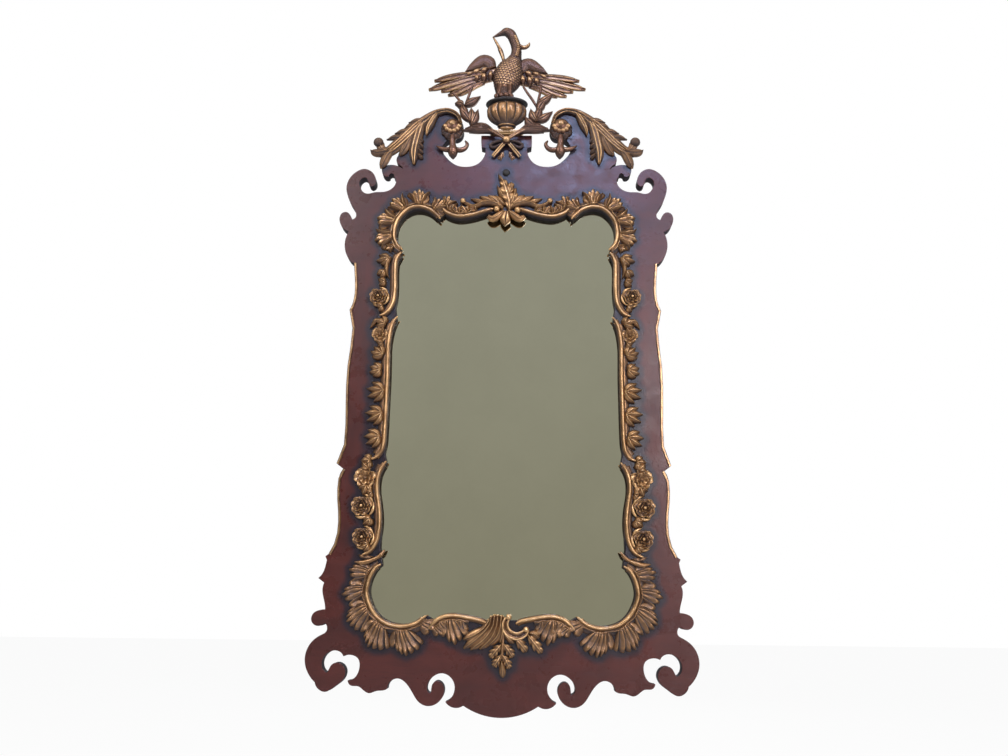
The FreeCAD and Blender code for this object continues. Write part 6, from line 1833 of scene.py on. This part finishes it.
class MIRROR_OT_stage(bpy.types.Operator):
    """Camera, soft lamps, pale floor and white background"""

    bl_idname = "mirror.stage"
    bl_label = "Stage"

    def execute(self, context):
        self.camera(context.scene)
        self.lamps(context.scene)
        self.floor()
        self.world(context.scene)
        context.scene.view_settings.view_transform = "Standard"
        return {"FINISHED"}

    @staticmethod
    def camera(scene):
        """Camera at the photographed angle."""
        lens = bpy.data.cameras.new("camera")
        lens.sensor_width = SENSOR_WIDTH
        lens.lens = CAMERA_FOCUS_PIXELS / PICTURE_WIDTH * SENSOR_WIDTH
        lens.clip_start = 0.01
        eye = bpy.data.objects.new("camera", lens)
        scene.collection.objects.link(eye)
        level = Vector((math.cos(CAMERA_YAW), -math.sin(CAMERA_YAW), 0))
        ahead = Vector((math.sin(CAMERA_YAW), math.cos(CAMERA_YAW), 0))
        forward = ahead * math.cos(CAMERA_PITCH) + Vector((0, 0, math.sin(CAMERA_PITCH)))
        up = level.cross(forward)
        right = level * math.cos(CAMERA_ROLL) + up * math.sin(CAMERA_ROLL)
        above = up * math.cos(CAMERA_ROLL) - level * math.sin(CAMERA_ROLL)
        matrix = Matrix((right, above, -forward)).transposed().to_4x4()
        matrix.translation = Vector((0, BOARD_FRONT, APRON_FOOT)) + Vector(CAMERA_PLACE)
        eye.matrix_world = matrix
        scene.camera = eye

    @staticmethod
    def lamps(scene):
        """Broad soft lamps: key from the upper left, fill from the right, a low one in front and one behind."""
        for name, (place, size, power) in LAMPS.items():
            lamp = bpy.data.lights.new(name, "AREA")
            lamp.size = size
            lamp.energy = power
            holder = bpy.data.objects.new(name, lamp)
            scene.collection.objects.link(holder)
            holder.location = place
            holder.rotation_euler = (Vector(LAMPS_FACE) - Vector(place)).to_track_quat("-Z", "Y").to_euler()

    @staticmethod
    def floor():
        """Pale floor under the hanging mirror, white to the camera and in reflections."""
        mesh = bpy.data.meshes.new("floor")
        corners = [(x * FLOOR_REACH, y * FLOOR_REACH, APRON_FOOT - FLOOR_DROP)
                   for x, y in ((-1, -1), (1, -1), (1, 1), (-1, 1))]
        mesh.from_pydata(corners, [], [(0, 1, 2, 3)])
        material = bpy.data.materials.new("floor")
        material.use_nodes = True
        tree = material.node_tree
        tree.nodes.clear()
        rays = tree.nodes.new("ShaderNodeLightPath").outputs
        seen = math_node(tree, "MAXIMUM", rays["Is Camera Ray"], rays["Is Glossy Ray"])
        seen = math_node(tree, "MAXIMUM", seen, rays["Is Transmission Ray"])
        tone = mix_colours(tree, noise(tree, coordinates(tree), 3.0), *FLOOR_TONES)
        matt = node(tree, "ShaderNodeBsdfDiffuse", {"Color": tone}).outputs[0]
        white = node(tree, "ShaderNodeEmission", {"Color": WHITE, "Strength": 1.0}).outputs[0]
        mixed = node(tree, "ShaderNodeMixShader", {0: scaled(tree, seen, FLOOR_WHITE), 1: matt, 2: white})
        node(tree, "ShaderNodeOutputMaterial", {"Surface": mixed.outputs[0]})
        mesh.materials.append(material)
        add_object("floor", mesh)

    @staticmethod
    def world(scene):
        """White behind the mirror, and a soft sky for light and reflections."""
        world = bpy.data.worlds.new("studio")
        world.use_nodes = True
        tree = world.node_tree
        tree.nodes.clear()
        rays = tree.nodes.new("ShaderNodeLightPath").outputs
        way = node(tree, "ShaderNodeSeparateXYZ", {0: coordinates(tree, "Generated")}).outputs

        def light(colour, strength):
            """Light of one colour."""
            return node(tree, "ShaderNodeBackground", {"Color": colour, "Strength": strength}).outputs[0]

        def mix(share, first, second):
            """Two lights mixed."""
            return node(tree, "ShaderNodeMixShader", {0: share, 1: first, 2: second}).outputs[0]

        def part(bounds, share):
            """A share that holds only inside a part of the sky."""
            for axis, *limits in bounds:
                share = math_node(tree, "MULTIPLY", share, map_range(tree, way[axis], *limits[:2]))
                if limits[2:]:
                    falls = scaled(tree, map_range(tree, way[axis], *limits[2:]), -1.0, 1.0)
                    share = math_node(tree, "MULTIPLY", share, falls)
            return share

        tone = mix_colours(tree, map_range(tree, way["Z"], 0.0, 0.9), *SKY_TONES)
        shine = mix(part(GLASS_SKY, 1.0), light(tone, SKY_DIM), light(tone, SKY_IN_GLASS))
        front = math_node(tree, "LESS_THAN", way["Y"], 0.0)
        for colour, strength, bounds in SHEENS:
            shine = mix(part(bounds, front), shine, light(colour, strength))
        glossy = mix(rays["Is Glossy Ray"], light(tone, SKY_SOFT), shine)
        shown = math_node(tree, "MAXIMUM", rays["Is Camera Ray"], rays["Is Transmission Ray"])
        node(tree, "ShaderNodeOutputWorld", {"Surface": mix(shown, glossy, light(WHITE, 1.0))})
        scene.world = world


class MIRROR_PT_panel(bpy.types.Panel):
    """Lists the steps in the 3D view's sidebar"""

    bl_idname = "MIRROR_PT_panel"
    bl_label = "Carved Mirror"
    bl_space_type = "VIEW_3D"
    bl_region_type = "UI"
    bl_category = "Mirror"

    def draw(self, context):
        for step in STEPS:
            self.layout.operator(step.bl_idname)
        for name in MirrorSettings.__annotations__:
            self.layout.prop(context.scene.carved_mirror, name)


STEPS = (
    MIRROR_OT_rails, MIRROR_OT_ruffles, MIRROR_OT_trails, MIRROR_OT_acanthus, MIRROR_OT_swan_necks, MIRROR_OT_finial,
    MIRROR_OT_bird, MIRROR_OT_branches, MIRROR_OT_back, MIRROR_OT_boards, MIRROR_OT_stage,
)
CLASSES = (MirrorSettings,) + STEPS + (MIRROR_PT_panel,)


def register():
    """Registers the settings, the steps and the panel."""
    for item in CLASSES:
        bpy.utils.register_class(item)
    bpy.types.Scene.carved_mirror = bpy.props.PointerProperty(type=MirrorSettings)


def unregister():
    """Takes them out again."""
    del bpy.types.Scene.carved_mirror
    for item in reversed(CLASSES):
        bpy.utils.unregister_class(item)


def main():
    """Runs every step."""
    register()
    for step in STEPS:
        group, action = step.bl_idname.split(".")
        getattr(getattr(bpy.ops, group), action)()


if __name__ == "__main__":
    main()
